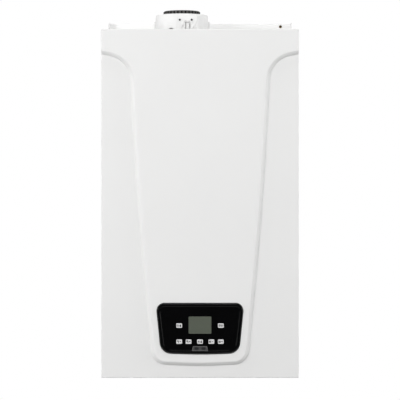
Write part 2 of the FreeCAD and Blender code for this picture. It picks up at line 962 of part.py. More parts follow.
def make_top_panel():
    z_plate = ("panel_top - frame_sheet", "panel_top")
    z_lip = ("panel_top - panel_lip", "panel_top")
    plate = block(("-panel_half", "panel_half"), ("-plate_front", "-frame_sheet"), z_plate)
    left = block(("-panel_half", "frame_sheet - panel_half"), ("-plate_front", "-frame_sheet"), z_lip)
    right = block(("panel_half - frame_sheet", "panel_half"), ("-plate_front", "-frame_sheet"), z_lip)
    front = block(("-panel_half", "panel_half"), ("-plate_front", "frame_sheet - plate_front"), z_lip)
    holes = [rod("z", ("flue_x", "flue_y"), z_plate, "gasket_bore")]
    for centre in flue_screw_centres():
        holes.append(rod("z", centre, z_plate, "flue_screw_radius + screw_clearance"))
    piece("top_panel", cut(fuse(plate, left, right, front), *holes))


def connection(index):
    """Centre of a pipe connection, counted from the middle one."""
    return (f"{index} * connection_pitch", "connection_y")


def make_bottom_tray():
    z_plate = ("tray_floor", "tray_top")
    lip_top = "lip_floor + frame_sheet"
    step_back = "frame_sheet - tray_reach"
    plate = block(("-panel_half", "panel_half"), ("-tray_reach", "-frame_sheet"), z_plate)
    step = block(("-panel_half", "panel_half"), ("-tray_reach", step_back), ("lip_floor", "tray_top"))
    lip = block(("-panel_half", "panel_half"), ("-plate_front", step_back), ("lip_floor", lip_top))
    sides = [
        block((low, high), ("-tray_reach", "-frame_sheet"), ("tray_floor", "tray_floor + panel_lip"))
        for low, high in (("-panel_half", "frame_sheet - panel_half"),
                          ("panel_half - frame_sheet", "panel_half"))
    ]
    ears = [
        block((low, high), ("-plate_front", "-tray_reach"), ("lip_floor", "base + hinge_ear_height"))
        for low, high in (
            ("-hinge_ear_x - hinge_ear_sheet", "-hinge_ear_x"),
            ("hinge_ear_x", "hinge_ear_x + hinge_ear_sheet"),
        )
    ]
    holes = [
        rod("x", ("-hinge_reach", "base + hinge_height"), ("-half_width", "half_width"),
            "hinge_pin_radius + hinge_clearance"),
        rod("z", connection(0), z_plate, "thread_large + stub_clearance"),
        rod("z", ("flue_x", "-condensate_reach"), z_plate, "trap_outlet_radius + stub_clearance"),
        rod("z", ("filling_x", "connection_y"), z_plate, "filling_stem_radius + stub_clearance"),
        rod("z", ("-gauge_x", "-gauge_reach"), z_plate, "gauge_radius + stub_clearance"),
        rod("z", ("grommet_x", "-grommet_reach"), z_plate, "grommet_radius"),
    ]
    for index, thread in ((-2, "thread_large"), (-1, "thread_small"), (1, "thread_small"),
                          (2, "thread_large")):
        holes.append(rod("z", connection(index), z_plate, f"{thread} + stub_clearance"))
    slot_half = "cover_screw_radius + screw_clearance"
    for sign in (-1, 1):
        middle = f"{sign} * cover_screw_x"
        holes.append(rod("z", (middle, "-cover_screw_reach"), ("lip_floor", lip_top), slot_half))
        holes.append(block((f"{middle} - ({slot_half})", f"{middle} + {slot_half}"),
                           ("-plate_front", "-cover_screw_reach"), ("lip_floor", lip_top)))
    piece("bottom_tray", cut(fuse(plate, step, lip, *sides, *ears), *holes))


# Flue adapter


def test_port_centres():
    """Centres, in X and Z, of the two flue-gas test points on the tower."""
    middle = "flue_x + tower_x - test_port_shift"
    return [
        (f"{middle} + {sign} * test_port_pitch / 2", "collar_foot + test_port_height") for sign in (-1, 1)
    ]


def make_flue_adapter():
    axis = ("flue_x", "flue_y")
    flange = rod("z", axis, ("flange_seat", "collar_foot"), "adapter_flange_radius")
    collar = cone("z", axis, ("flange_seat", "adapter_top"), "adapter_foot_radius", "adapter_top_radius")
    tower_middle = "flue_x + tower_x"
    tower = block((f"{tower_middle} - tower_width / 2", f"{tower_middle} + tower_width / 2"),
                  ("-tower_front", "flue_y"), ("flange_seat", "collar_foot + tower_height"))
    port_face = "-tower_front - test_port_length"
    ports = [
        rod("y", centre, (port_face, "-tower_front"), "test_port_radius") for centre in test_port_centres()
    ]
    gusset_y = ("flue_y - adapter_gusset_sheet / 2", "flue_y + adapter_gusset_sheet / 2")
    gusset_end = "adapter_foot_radius + adapter_gusset_reach"
    gussets = [
        block(span, gusset_y, ("flange_seat", "collar_foot + adapter_gusset"))
        for span in (
            ("flue_x + adapter_bore", f"flue_x + {gusset_end}"),
            (f"flue_x - ({gusset_end})", "flue_x - adapter_bore"),
        )
    ]
    ribs = []
    for x, _ in test_port_centres():
        rib = block(("0", "tower_rib_width"), ("0", "tower_rib_depth + joint_overlap"),
                    ("0", "tower_rib_length"))
        rib.Placement = Placement(Vector(), Rotation(Vector(0, 1, 0), num("tower_rib_lean")))
        bind(rib, "Placement.Rotation.Angle", "tower_rib_lean")
        bind(rib, "Placement.Base.x", f"{x} - tower_rib_offset")
        bind(rib, "Placement.Base.y", "-tower_front - tower_rib_depth")
        bind(rib, "Placement.Base.z", "collar_foot")
        ribs.append(rib)
    clip_x = f"{tower_middle} + clip_shift"
    clip_y = ("-tower_front", "clip_recess_depth - tower_front")
    recess = block((f"{clip_x} - clip_recess_width / 2", f"{clip_x} + clip_recess_width / 2"), clip_y,
                   ("collar_foot", "collar_foot + clip_recess_height"))
    clip = block((f"{clip_x} - clip_width / 2", f"{clip_x} + clip_width / 2"), clip_y,
                 ("collar_foot", "collar_foot + clip_recess_height - clip_drop"))
    slot_x = "flue_x - adapter_slot_x"
    slot_z = "collar_foot + adapter_slot_rise"
    slot = block((f"{slot_x} - adapter_slot_width / 2", f"{slot_x} + adapter_slot_width / 2"),
                 ("flue_y - adapter_foot_radius", "flue_y"), (slot_z, f"{slot_z} + adapter_slot_height"))
    bore = rod("z", axis, ("flange_seat", "adapter_top"), "gasket_bore")
    socket = rod("z", axis, ("flange_seat + adapter_step", "adapter_top"), "adapter_bore")
    holes = [rod("z", centre, ("flange_seat", "collar_foot"), "flue_screw_radius + screw_clearance")
             for centre in flue_screw_centres()]
    cap_holes = [
        rod("y", centre, (port_face, f"{port_face} + test_cap_length"), "test_cap_radius + screw_clearance")
        for centre in test_port_centres()
    ]
    shell = cut(fuse(flange, collar, tower, *ports, *gussets, *ribs), recess, slot)
    solid = cut(fuse(shell, clip), bore, socket, *holes, *cap_holes)
    rim, outer = num("adapter_top"), num("adapter_top_radius")
    piece("flue_adapter", rounded(solid, "adapter_edge_fillet", lambda m: near(m.z, rim)
          and math.hypot(m.x - num("flue_x"), m.y - num("flue_y")) > outer - 1))
    caps = []
    for centre in test_port_centres():
        head = rod("y", centre, (f"{port_face} - test_cap_height", port_face), "test_cap_head")
        plug = rod("y", centre, (port_face, f"{port_face} + test_cap_length"), "test_cap_radius")
        caps.append(fuse(head, plug))
    piece("test_caps", group(*caps))


def make_flue_fittings():
    axis = ("flue_x", "flue_y")
    gasket = ring("z", axis, ("panel_top", "flange_seat"), "adapter_flange_radius", "gasket_bore")
    holes = [rod("z", centre, ("panel_top", "flange_seat"), "flue_screw_radius + screw_clearance")
             for centre in flue_screw_centres()]
    piece("flue_gasket", cut(gasket, *holes))
    length = "adapter_flange + gasket_sheet + frame_sheet + flue_screw_end"
    screws = [screw(centre, "collar_foot", "flue_screw_radius", length, True)
              for centre in flue_screw_centres()]
    piece("flue_screws", group(*screws))
    pipe = rod("z", axis, ("pipe_seat", "socket_top"), "flue_pipe_radius")
    socket = rod("z", axis, ("socket_top - flue_socket_length", "socket_top"), "flue_socket_radius")
    bore = rod("z", axis, ("pipe_seat", "socket_top"), "flue_pipe_bore")
    piece("flue_pipe", cut(fuse(pipe, socket), bore))


def make_flue_seal():
    body = new_body("flue_seal")
    skirt_foot = "socket_top - seal_skirt"
    seal_top = f"{skirt_foot} + seal_height"
    pad(body, circles(body, "XY", skirt_foot, (("flue_x", "flue_y"), "seal_radius")), "seal_height")
    rib = rectangle("flue_x - seal_rib_width / 2", "flue_x + seal_rib_width / 2",
                    "flue_y - seal_rib_radius", "flue_y - seal_bore - joint_overlap")
    ribs = pad(body, outline(body, "XY", skirt_foot, rib), "seal_height - seal_rib_stop")
    axis_line = body.newObject("PartDesign::Line", "flue_axis")
    bind(axis_line, "Placement.Base.x", "flue_x")
    bind(axis_line, "Placement.Base.y", "flue_y")
    pattern = body.newObject("PartDesign::PolarPattern", "ribs")
    pattern.Originals = [ribs]
    pattern.Axis = (axis_line, [""])
    pattern.Angle = 360
    bind(pattern, "Occurrences", "seal_rib_count")
    body.Tip = pattern
    doc.recompute()
    top = num(seal_top)
    soften(body, "seal_edge_fillet", lambda m: near(m.z, top))
    pocket(body, circles(body, "XY", seal_top, (("flue_x", "flue_y"), "seal_bore")), "seal_height")
    pocket(body, circles(body, "XY", skirt_foot, (("flue_x", "flue_y"), "flue_socket_radius + panel_gap")),
           "seal_skirt", reverse=True)
    piece("flue_seal", body)


# Condensing heat exchanger and burner


def door_stud_centres():
    """Centres, in X and Z, of the studs around the burner door."""
    count = int(SIZES["door_nut_count"])
    step = 360 / count
    return [
        (f"flue_x + door_nut_circle * cos({i * step} + door_stud_angle)",
         f"exchanger_z + door_nut_circle * sin({i * step} + door_stud_angle)")
        for i in range(count)
    ]


def water_spigot(sign):
    return (f"flue_x + {sign} * water_spigot_x", "-water_spigot_reach")


def make_heat_exchanger():
    axis, flue = ("flue_x", "exchanger_z"), ("flue_x", "flue_y")
    drain = ("flue_x", "-condensate_reach")
    span = ("-exchanger_front", "-exchanger_back")
    shell = rod("y", axis, span, "exchanger_radius")
    flange = rod("y", axis, ("-exchanger_front", "exchanger_flange - exchanger_front"), "door_radius")
    exhaust_top = "shell_top + exhaust_spigot_length"
    drain_foot = "shell_foot - condensate_spigot_length"
    exhaust = rod("z", flue, ("exchanger_z", exhaust_top),
                  "flue_pipe_radius + spigot_clearance + spigot_wall")
    condensate = rod("z", drain, (drain_foot, "exchanger_z"),
                     "condensate_pipe_radius + spigot_clearance + spigot_wall")
    solids = [shell, flange, exhaust, condensate]
    hollows = [
        rod("y", axis, ("-exchanger_front", "-exchanger_back - exchanger_wall"),
            "exchanger_radius - exchanger_wall"),
        rod("z", flue, ("exchanger_z", "pipe_seat"), "flue_pipe_bore"),
        rod("z", flue, ("pipe_seat", exhaust_top), "flue_pipe_radius + spigot_clearance"),
        rod("z", drain, (drain_foot, f"{drain_foot} + pipe_insert"),
            "condensate_pipe_radius + spigot_clearance"),
        rod("z", drain, (drain_foot, "exchanger_z"), "condensate_pipe_radius - water_pipe_wall"),
    ]
    for sign in (-1, 1):
        centre = water_spigot(sign)
        spigot_z = ("spigot_foot", "exchanger_z - water_spigot_length")
        solids.append(rod("z", centre, spigot_z, "water_spigot_radius"))
        hollows.append(rod("z", centre, ("spigot_foot", "spigot_foot + pipe_insert"),
                           "water_pipe_radius + spigot_clearance"))
        hollows.append(rod("z", centre, ("spigot_foot", "exchanger_z - water_spigot_length"),
                           "water_pipe_radius - water_pipe_wall"))
    stud_y = ("-door_front - door_nut_height - door_stud_end", "-exchanger_front")
    studs = [rod("y", centre, stud_y, "door_stud_radius")
             for centre in door_stud_centres()]
    piece("heat_exchanger", fuse(cut(fuse(*solids), *hollows), *studs))
    nuts = [
        cut(hexagon("y", centre, ("-door_front - door_nut_height", "-door_front"), "door_nut_radius"),
            rod("y", centre, ("-door_front - door_nut_height", "-door_front"), "door_stud_radius"))
        for centre in door_stud_centres()
    ]
    piece("door_nuts", group(*nuts))


def make_exchanger_bracket():
    top = "base + bracket_height"
    right, left = "flue_x + bracket_right", "flue_x - bracket_left"
    shelf = block((left, right), ("-bracket_reach", "-frame_sheet"), (f"{top} - bracket_sheet", top))
    back = block((left, right), ("-frame_sheet - bracket_sheet", "-frame_sheet"),
                 (f"{top} - bracket_drop", top))
    rib_x = ("flue_x - bracket_rib_half", "flue_x + bracket_rib_half")
    ribs = [
        block(rib_x, (f"{rear} - bracket_sheet", rear), (top, "exchanger_z - exchanger_radius / 2"))
        for rear in ("bracket_front_inset - exchanger_front", "-exchanger_back - bracket_back_inset")
    ]
    cradle = rod("y", ("flue_x", "exchanger_z"), ("-bracket_reach", "-exchanger_back"), "exchanger_radius")
    z_shelf = (f"{top} - bracket_sheet", top)
    drain = rod("z", ("flue_x", "-condensate_reach"), z_shelf, "condensate_pipe_radius + pipe_hole_gap")
    flow = rod("z", water_spigot(-1), z_shelf, "water_pipe_radius + pipe_hole_gap")
    piece("exchanger_bracket", cut(fuse(shelf, back, *ribs), cradle, drain, flow))


def make_exchanger_coil():
    axis = ("flue_x", "exchanger_z")
    rear = "-exchanger_back - exchanger_wall"
    sleeve = ring("y", axis, ("-coil_front", rear), "coil_radius", "coil_bore")
    turns = int(SIZES["coil_turns"])
    pitch = f"(coil_front - exchanger_back - exchanger_wall) / {turns}"
    grooves = [
        ring("y", axis,
             (f"{rear} - {i} * {pitch} - coil_groove / 2", f"{rear} - {i} * {pitch} + coil_groove / 2"),
             "coil_radius + joint_overlap", "coil_radius - coil_groove")
        for i in range(1, turns)
    ]
    piece("exchanger_coil", cut(sleeve, *grooves))


def electrode_centre(sign):
    return (f"flue_x + {sign} * electrode_x", "exchanger_z + electrode_rise")


def make_burner_door():
    axis = ("flue_x", "exchanger_z")
    duct_axis = ("-duct_reach", "exchanger_z")
    disc = rod("y", axis, ("-door_front", "-door_back"), "door_radius")
    boss = rod("y", axis, ("-duct_reach - duct_radius", "-door_front"), "door_boss_radius")
    duct = rod("x", duct_axis, ("flue_x", "duct_end"), "duct_radius")
    flange = rod("x", duct_axis, ("duct_end - duct_flange", "duct_end"), "duct_flange_radius")
    chamber = rod("y", axis, ("-duct_reach - duct_bore", "-door_back"), "burner_radius - burner_wall")
    bore = rod("x", duct_axis, ("flue_x", "duct_end"), "duct_bore")
    holes = [rod("y", centre, ("-door_front", "-door_back"), "door_stud_radius + screw_clearance")
             for centre in door_stud_centres()]
    for sign in (-1, 1):
        hole_y = ("-door_front", "-door_back")
        holes.append(rod("y", electrode_centre(sign), hole_y, "ceramic_radius + screw_clearance"))
    piece("burner_door", cut(fuse(disc, boss, duct, flange), chamber, bore, *holes))
    half = "door_gasket_width / 2"
    gasket = ring("y", axis, ("-door_back", "-exchanger_front"), f"exchanger_radius + {half}",
                  f"exchanger_radius - {half}")
    insulation = ring("y", axis, ("-door_back", "insulation_thickness - door_back"),
                      "exchanger_radius - exchanger_wall - insulation_gap",
                      "burner_flange_radius + insulation_gap")
    leads = [rod("y", electrode_centre(sign), ("-door_back", "insulation_thickness - door_back"),
                 "ceramic_radius + insulation_gap") for sign in (-1, 1)]
    piece("door_seals", group(gasket, cut(insulation, *leads)))
    flange = rod("y", axis, ("-door_back", "burner_flange - door_back"), "burner_flange_radius")
    tube = rod("y", axis, ("-door_back", "-burner_back"), "burner_radius")
    bore = rod("y", axis, ("-door_back", "-burner_back - burner_flange"), "burner_radius - burner_wall")
    piece("burner_tube", cut(fuse(flange, tube), bore))


def make_electrodes():
    electrodes = []
    for sign in (-1, 1):
        centre = electrode_centre(sign)
        rear = "ceramic_back - door_back"
        ceramic = rod("y", centre, ("-door_front - ceramic_front", rear), "ceramic_radius")
        seat = rod("y", centre, ("-door_front - ceramic_seat", "-door_front"), "ceramic_seat_radius")
        wire = rod("y", centre, (rear, f"{rear} + electrode_length"), "electrode_radius")
        electrodes.append(fuse(ceramic, seat, wire))
    piece("electrodes", group(*electrodes))


def make_spark_generator():
    shelf = "base + bracket_height"
    left = "flue_x - bracket_left"
    rear = "-spark_box_rear"
    box = block((left, f"{left} + spark_box_width"), (f"{rear} - spark_box_depth", rear),
                (shelf, f"{shelf} + spark_box_height"))
    lead_x = f"{left} + spark_box_width / 2"
    lead_z = f"{shelf} + spark_box_height / 2"
    lead_y = "-door_front - lead_stand"
    electrode_x, electrode_z = electrode_centre(-1)
    points = [
        (lead_x, f"{rear} - spark_box_depth", lead_z),
        (lead_x, lead_y, lead_z),
        (lead_x, lead_y, electrode_z),
        (f"{electrode_x} - ceramic_radius", lead_y, electrode_z),
    ]
    piece("spark_generator", group(box, bent_tube(points, "lead_radius", None, "lead_bend")))


# Fan, mixer, silencer and gas train


def make_fan():
    axis = ("fan_x", "fan_y")
    duct_axis = ("-duct_reach", "exchanger_z")
    scroll = rod("z", axis, ("fan_foot", "fan_top"), "fan_radius")
    outlet = rod("x", duct_axis, ("duct_end", "fan_x"), "duct_bore + fan_wall")
    flange = rod("x", duct_axis, ("duct_end", "duct_end + duct_flange"), "duct_flange_radius")
    chamber = rod("z", axis, ("fan_foot + fan_wall", "fan_top - fan_wall"), "fan_radius - fan_wall")
    bore = rod("x", duct_axis, ("duct_end", "fan_x - fan_wall"), "duct_bore")
    inlet = rod("z", axis, ("fan_top - fan_wall", "fan_top"), "fan_inlet_radius")
    shaft_hole = rod("z", axis, ("fan_foot", "fan_foot + fan_wall"), "fan_shaft_radius + shaft_clearance")
    piece("fan_housing", cut(fuse(scroll, outlet, flange), chamber, bore, inlet, shaft_hole))
    body = rod("z", axis, ("fan_foot - fan_motor_height", "fan_foot"), "fan_motor_radius")
    bearing = rod("z", axis, ("fan_foot - fan_shaft_length", "fan_foot"),
                  "fan_shaft_radius + shaft_clearance")
    plug = block(("fan_x - fan_motor_radius / 2", "fan_x + fan_motor_radius / 2"),
                 ("fan_y - fan_motor_radius - fan_plug_reach", "fan_y"),
                 ("fan_foot - fan_motor_height", "fan_foot - fan_motor_height / 2"))
    piece("fan_motor", cut(fuse(body, plug), bearing))


def make_fan_impeller():
    axis = ("fan_x", "fan_y")
    disc_foot = "fan_foot + fan_wall + impeller_gap"
    disc_top = f"{disc_foot} + impeller_disc"
    solids = [
        rod("z", axis, (disc_foot, disc_top), "impeller_radius"),
        rod("z", axis, (disc_foot, f"{disc_foot} + impeller_height"), "impeller_hub"),
        rod("z", axis, ("fan_foot - fan_shaft_length + impeller_disc", disc_foot), "fan_shaft_radius"),
    ]
    count = int(SIZES["impeller_blades"])
    for index in range(count):
        angle = index * 360 / count
        blade = block(("0", "0"), ("0", "0"), (disc_top, f"{disc_foot} + impeller_height"))
        bind(blade, "Length", "impeller_radius / 2 - impeller_tip")
        bind(blade, "Width", "impeller_blade_sheet")
        blade.Placement = Placement(Vector(), Rotation(Vector(0, 0, 1), angle + num("impeller_sweep")))
        bind(blade, "Placement.Rotation.Angle", f"{angle} + impeller_sweep")
        bind(blade, "Placement.Base.x", f"fan_x + impeller_radius / 2 * cos({angle})")
        bind(blade, "Placement.Base.y", f"fan_y + impeller_radius / 2 * sin({angle})")
        solids.append(blade)
    piece("fan_impeller", fuse(*solids))


def make_mixer():
    axis = ("fan_x", "fan_y")
    port = ("fan_x", "gas_port_z")
    body = rod("z", axis, ("fan_top", "mixer_top"), "mixer_radius")
    boss_end = "fan_y + mixer_radius + mixer_boss_reach"
    boss = rod("y", port, ("fan_y + mixer_throat + joint_overlap", boss_end), "mixer_boss_radius")
    throat = rod("z", axis, ("fan_top", "mixer_top"), "mixer_throat")
    mouth = cone("z", axis, ("gas_port_z", "mixer_top"), "mixer_throat", "mixer_radius - fan_wall")
    seat = rod("y", port, (f"{boss_end} - pipe_insert", boss_end), "gas_pipe_radius + spigot_clearance")
    inlet = rod("y", port, ("fan_y", boss_end), "gas_pipe_radius - gas_pipe_wall")
    piece("mixer", cut(fuse(body, boss), throat, mouth, seat, inlet))


def make_air_silencer():
    sides = ("fan_x - silencer_half", "fan_x + silencer_half")
    depth = ("fan_y - silencer_half", "fan_y + silencer_half")
    top = "mixer_top + silencer_height"
    box = rounded(block(sides, depth, ("mixer_top", top)), "silencer_fillet", lambda m: True)
    inner = block((f"{sides[0]} + silencer_wall", f"{sides[1]} - silencer_wall"),
                  (f"{depth[0]} + silencer_wall", f"{depth[1]} - silencer_wall"),
                  ("mixer_top + silencer_wall", f"{top} - silencer_wall"))
    outlet = rod("z", ("fan_x", "fan_y"), ("mixer_top", "mixer_top + silencer_wall"),
                 "mixer_radius - fan_wall")
    mouth = rod("y", ("fan_x", f"{top} - silencer_height / 2"), (f"{depth[1]} - silencer_wall", depth[1]),
                "silencer_mouth")
    piece("air_silencer", cut(box, inner, outlet, mouth))


def locknut(centre, thread):
    """The nut that clamps a pipe connection from under the tray."""
    return hexagon("z", centre, ("tray_floor - locknut_height", "tray_floor"), f"{thread} + stub_collar")


def make_gas_train():
    stem = connection(0)
    piece("gas_connection", cut(
        fuse(
            rod("z", stem, ("base - thread_drop", "tray_top"), "thread_large"),
            locknut(stem, "thread_large"),
            hexagon("z", stem, ("tray_top", "tray_top + stub_collar_height"), "thread_large + stub_collar"),
            rod("z", stem, ("tray_top", "gas_valve_foot"), "gas_riser_radius"),
        ),
        rod("z", stem, ("base - thread_drop", "gas_valve_foot"), "gas_riser_radius - 2 * gas_pipe_wall"),
    ))
    valve_top = "gas_valve_foot + gas_valve_tall"
    valve_middle = "gas_valve_foot + gas_valve_tall / 2"
    body = rounded(
        block(("-gas_valve_left", "gas_valve_right"), ("-gas_valve_front", "-gas_valve_back"),
              ("gas_valve_foot", valve_top)), "group_fillet / 2", lambda m: True)
    coil = rod("y", ("gas_coil_x", valve_middle),
               ("-gas_valve_front - gas_coil_length", "-gas_valve_front"),
               "gas_coil_radius")
    cap = rod("z", ("gas_valve_right / 2", "-gas_pipe_reach"),
              (valve_top, f"{valve_top} + stub_collar_height"),
              "gas_coil_radius")
    entry = rod("z", stem, ("gas_valve_foot", "gas_valve_foot + pipe_insert"),
                "gas_riser_radius - 2 * gas_pipe_wall")
    outlet_end = "gas_valve_right + pipe_insert"
    outlet = rod("x", ("-gas_pipe_reach", valve_middle), ("gas_valve_right", outlet_end),
                 "gas_pipe_radius + spigot_clearance + spigot_wall")
    seat = rod("x", ("-gas_pipe_reach", valve_middle), ("gas_valve_right", outlet_end),
               "gas_pipe_radius + spigot_clearance")
    piece("gas_valve", cut(fuse(body, coil, cap, outlet), entry, seat))
    far_end = "fan_y + mixer_radius + mixer_boss_reach - pipe_insert"
    points = [
        ("gas_valve_right", "-gas_pipe_reach", valve_middle),
        ("fan_x", "-gas_pipe_reach", valve_middle),
        ("fan_x", "-gas_pipe_reach", "gas_port_z"),
        ("fan_x", far_end, "gas_port_z"),
    ]
    piece("gas_pipe", bent_tube(points, "gas_pipe_radius", "gas_pipe_radius - gas_pipe_wall",
                                "gas_pipe_bend"))


# Water side


def make_connections():
    stubs = []
    for index, thread in ((-2, "thread_large"), (-1, "thread_small"), (1, "thread_small"),
                          (2, "thread_large")):
        centre = connection(index)
        solid = fuse(
            rod("z", centre, ("base - thread_drop", "stub_top"), thread),
            locknut(centre, thread),
            hexagon("z", centre, ("tray_top", "tray_top + stub_collar_height"), f"{thread} + stub_collar"),
        )
        bore = rod("z", centre, ("base - thread_drop", "stub_top"), f"{thread} - stub_bore_wall")
        stubs.append(cut(solid, bore))
    piece("water_connections", group(*stubs))


def make_flow_group():
    riser = ("flue_x - water_spigot_x", "-riser_reach")
    socket_top = "group_top + socket_height"
    body = rounded(
        block(("-group_outer", "-flow_group_inner"), ("-group_front", "-group_back"),
              ("stub_top", "group_top")),
        "group_fillet", lambda m: near(m.y, -num("group_front")))
    socket = rod("z", riser, ("group_top", socket_top), "socket_radius")
    neck_axis = ("-diverter_x", "base + diverter_height")
    neck_front = "-group_front - diverter_neck"
    neck = rod("y", neck_axis, (neck_front, "-group_front"), "diverter_neck_radius")
    bores = [
        rod("z", riser, (f"{socket_top} - pipe_insert", socket_top),
            "water_pipe_radius + spigot_clearance"),
        rod("z", riser, ("group_top - socket_radius", socket_top), "water_pipe_radius - water_pipe_wall"),
        rod("y", neck_axis, (neck_front, f"{neck_front} + spindle_length"),
            "spindle_radius + shaft_clearance"),
    ]
    for index in (-2, -1):
        bores.append(rod("z", connection(index), ("stub_top", "stub_top + socket_radius"),
                         "thread_small - stub_bore_wall"))
    piece("flow_group", cut(fuse(body, socket, neck), *bores))
    half = "diverter_motor_half"
    motor = rounded(
        block((f"-diverter_x - {half}", f"{half} - diverter_x"),
              (f"{neck_front} - diverter_motor_depth", neck_front),
              (f"base + diverter_height - {half}", f"base + diverter_height + {half}")),
        "group_fillet / 2", lambda m: near(m.y, num(f"{neck_front} - diverter_motor_depth")))
    entry = rod("y", neck_axis, (f"{neck_front} - spindle_length / 2 - panel_gap", neck_front),
                "spindle_radius + shaft_clearance")
    piece("diverter_motor", cut(motor, entry))
    spindle_front = f"{neck_front} - spindle_length / 2"
    spindle_y = (spindle_front, f"{spindle_front} + spindle_length")
    piece("diverter_spindle", rod("y", neck_axis, spindle_y, "spindle_radius"))


def make_return_group():
    riser = ("flue_x + water_spigot_x", "-riser_reach")
    socket_top = "base + return_riser_height"
    body = rounded(
        block(("return_group_inner", "group_outer"), ("-group_front", "-group_back"),
              ("stub_top", "group_top")),
        "group_fillet", lambda m: near(m.y, -num("group_front")))
    socket = rod("z", riser, ("group_top", socket_top), "socket_radius")
    bores = [
        rod("z", riser, (f"{socket_top} - pipe_insert", socket_top),
            "water_pipe_radius + spigot_clearance"),
        rod("z", riser, ("group_top - socket_radius", socket_top), "water_pipe_radius - water_pipe_wall"),
        rod("z", ("pump_x", "-riser_reach"), ("group_top - socket_radius", "group_top"),
            "thread_small - stub_bore_wall"),
    ]
    for index in (1, 2):
        bores.append(rod("z", connection(index), ("stub_top", "stub_top + socket_radius"),
                         "thread_small - stub_bore_wall"))
    piece("return_group", cut(fuse(body, socket), *bores))


def make_water_pipes():
    foot = "base + riser_turn"
    tubes = []
    for sign, socket_top in ((-1, "group_top + socket_height"), (1, "base + return_riser_height")):
        x, y = water_spigot(sign)
        points = [
            (x, y, "spigot_foot + pipe_insert"),
            (x, y, foot),
            (x, "-riser_reach", foot),
            (x, "-riser_reach", f"{socket_top} - pipe_insert"),
        ]
        bore = "water_pipe_radius - water_pipe_wall"
        tubes.append(bent_tube(points, "water_pipe_radius", bore, "water_pipe_bend"))
    piece("heating_pipes", group(*tubes))


def make_plate_exchanger():
    foot = "base + plate_foot"
    top = f"{foot} + plate_tall"
    back = "-group_back + plate_depth"
    count = int(SIZES["plate_count"])
    core = block(("plate_inset - plate_half_width", "plate_half_width - plate_inset"),
                 ("-group_back", back),
                 (f"{foot} + plate_inset", f"{top} - plate_inset"))
    pitch = f"plate_depth / {count}"
    plates = [
        block(("-plate_half_width", "plate_half_width"),
              (f"-group_back + {i} * {pitch}", f"-group_back + ({i} + 0.6) * {pitch}"), (foot, top))
        for i in range(count)
    ]
    piece("plate_exchanger", fuse(core, *plates))


def make_pump():
    axis = ("pump_x", "pump_z")
    rear = "pump_length - pump_front"
    housing = rod("y", axis, ("-pump_front", rear), "pump_radius")
    neck = rod("z", ("pump_x", "-riser_reach"), ("group_top", "pump_z"), "pump_neck_radius")
    vent_seat = "pump_z + pump_radius + pump_wall"
    boss = rod("z", ("pump_x", "-riser_reach"), ("pump_z", vent_seat), "vent_radius")
    chamber = rod("y", axis, ("-pump_front", f"{rear} - pump_wall"), "pump_radius - pump_wall")
    inlet = rod("z", ("pump_x", "-riser_reach"), ("group_top", "pump_z"), "thread_small - stub_bore_wall")
    piece("pump_housing", cut(fuse(housing, neck, boss), chamber, inlet))
    motor = rod("y", axis, ("-pump_front - pump_motor_length", "-pump_front"), "pump_motor_radius")
    cover = rod("y", axis, ("-pump_front - pump_wall", "-pump_front"), "pump_radius")
    box_half = "pump_box / 2"
    box = block((f"pump_x - {box_half}", f"pump_x + {box_half}"),
                ("-pump_front - pump_motor_length - pump_box_depth", "-pump_front - pump_motor_length"),
                (f"pump_z - {box_half}", f"pump_z + {box_half}"))
    bearing = rod("y", axis, ("-pump_front - rotor_shaft_length - rotor_shaft_end", "-pump_front"),
                  "rotor_shaft_radius + shaft_clearance")
    piece("pump_motor", cut(fuse(motor, cover, box), bearing))
    wheel_front = "rotor_gap - pump_front"
    wheel = rod("y", axis, (wheel_front, f"{wheel_front} + rotor_thickness"), "rotor_radius")
    shaft = rod("y", axis, ("-pump_front - rotor_shaft_length", wheel_front), "rotor_shaft_radius")
    eye_y = (f"{wheel_front} + rotor_thickness / 2", f"{wheel_front} + rotor_thickness")
    eye = rod("y", axis, eye_y, "rotor_radius / 2")
    piece("pump_rotor", cut(fuse(wheel, shaft), eye))
    vent_axis = ("pump_x", "-riser_reach")
    vent_top = f"{vent_seat} + vent_height"
    return fuse(
        rod("z", vent_axis, (vent_seat, vent_top), "vent_radius"),
        rod("z", vent_axis, (vent_top, f"{vent_top} + vent_cap_height"), "vent_cap_radius"),
    )


def grips(axis, centre, span, radius):
    """Round grips spaced around a knob, flush with its radius."""
    count = int(SIZES["knob_grip_count"])
    reach = f"({radius} - knob_grip_radius)"
    rods = []
    for index in range(count):
        angle = index * 360 / count
        place = (f"{centre[0]} + {reach} * cos({angle})", f"{centre[1]} + {reach} * sin({angle})")
        rods.append(rod(axis, place, span, "knob_grip_radius"))
    return rods


def make_safety_valve():
    axis = ("connection_y", "base + safety_height")
    body_end = "group_outer + safety_length"
    stem_end = f"{body_end} + safety_knob_length - knob_cap"
    body = rod("x", axis, ("group_outer", body_end), "safety_radius")
    stem = rod("x", axis, (body_end, stem_end), "safety_stem_radius")
    outlet_axis = ("group_outer + safety_length / 2", "connection_y")
    outlet_z = ("base + safety_height - safety_outlet", "base + safety_height")
    outlet = rod("z", outlet_axis, outlet_z, "safety_outlet_radius")
    drain = rod("z", outlet_axis, outlet_z, "safety_outlet_bore")
    valve = cut(fuse(body, stem, outlet), drain)
    span = (body_end, f"{body_end} + safety_knob_length")
    knob = fuse(rod("x", axis, span, "safety_knob_radius - knob_groove"),
                *grips("x", axis, span, "safety_knob_radius"))
    bore = rod("x", axis, (body_end, stem_end), "safety_stem_radius + shaft_clearance")
    piece("safety_knob", cut(knob, bore))
    return valve


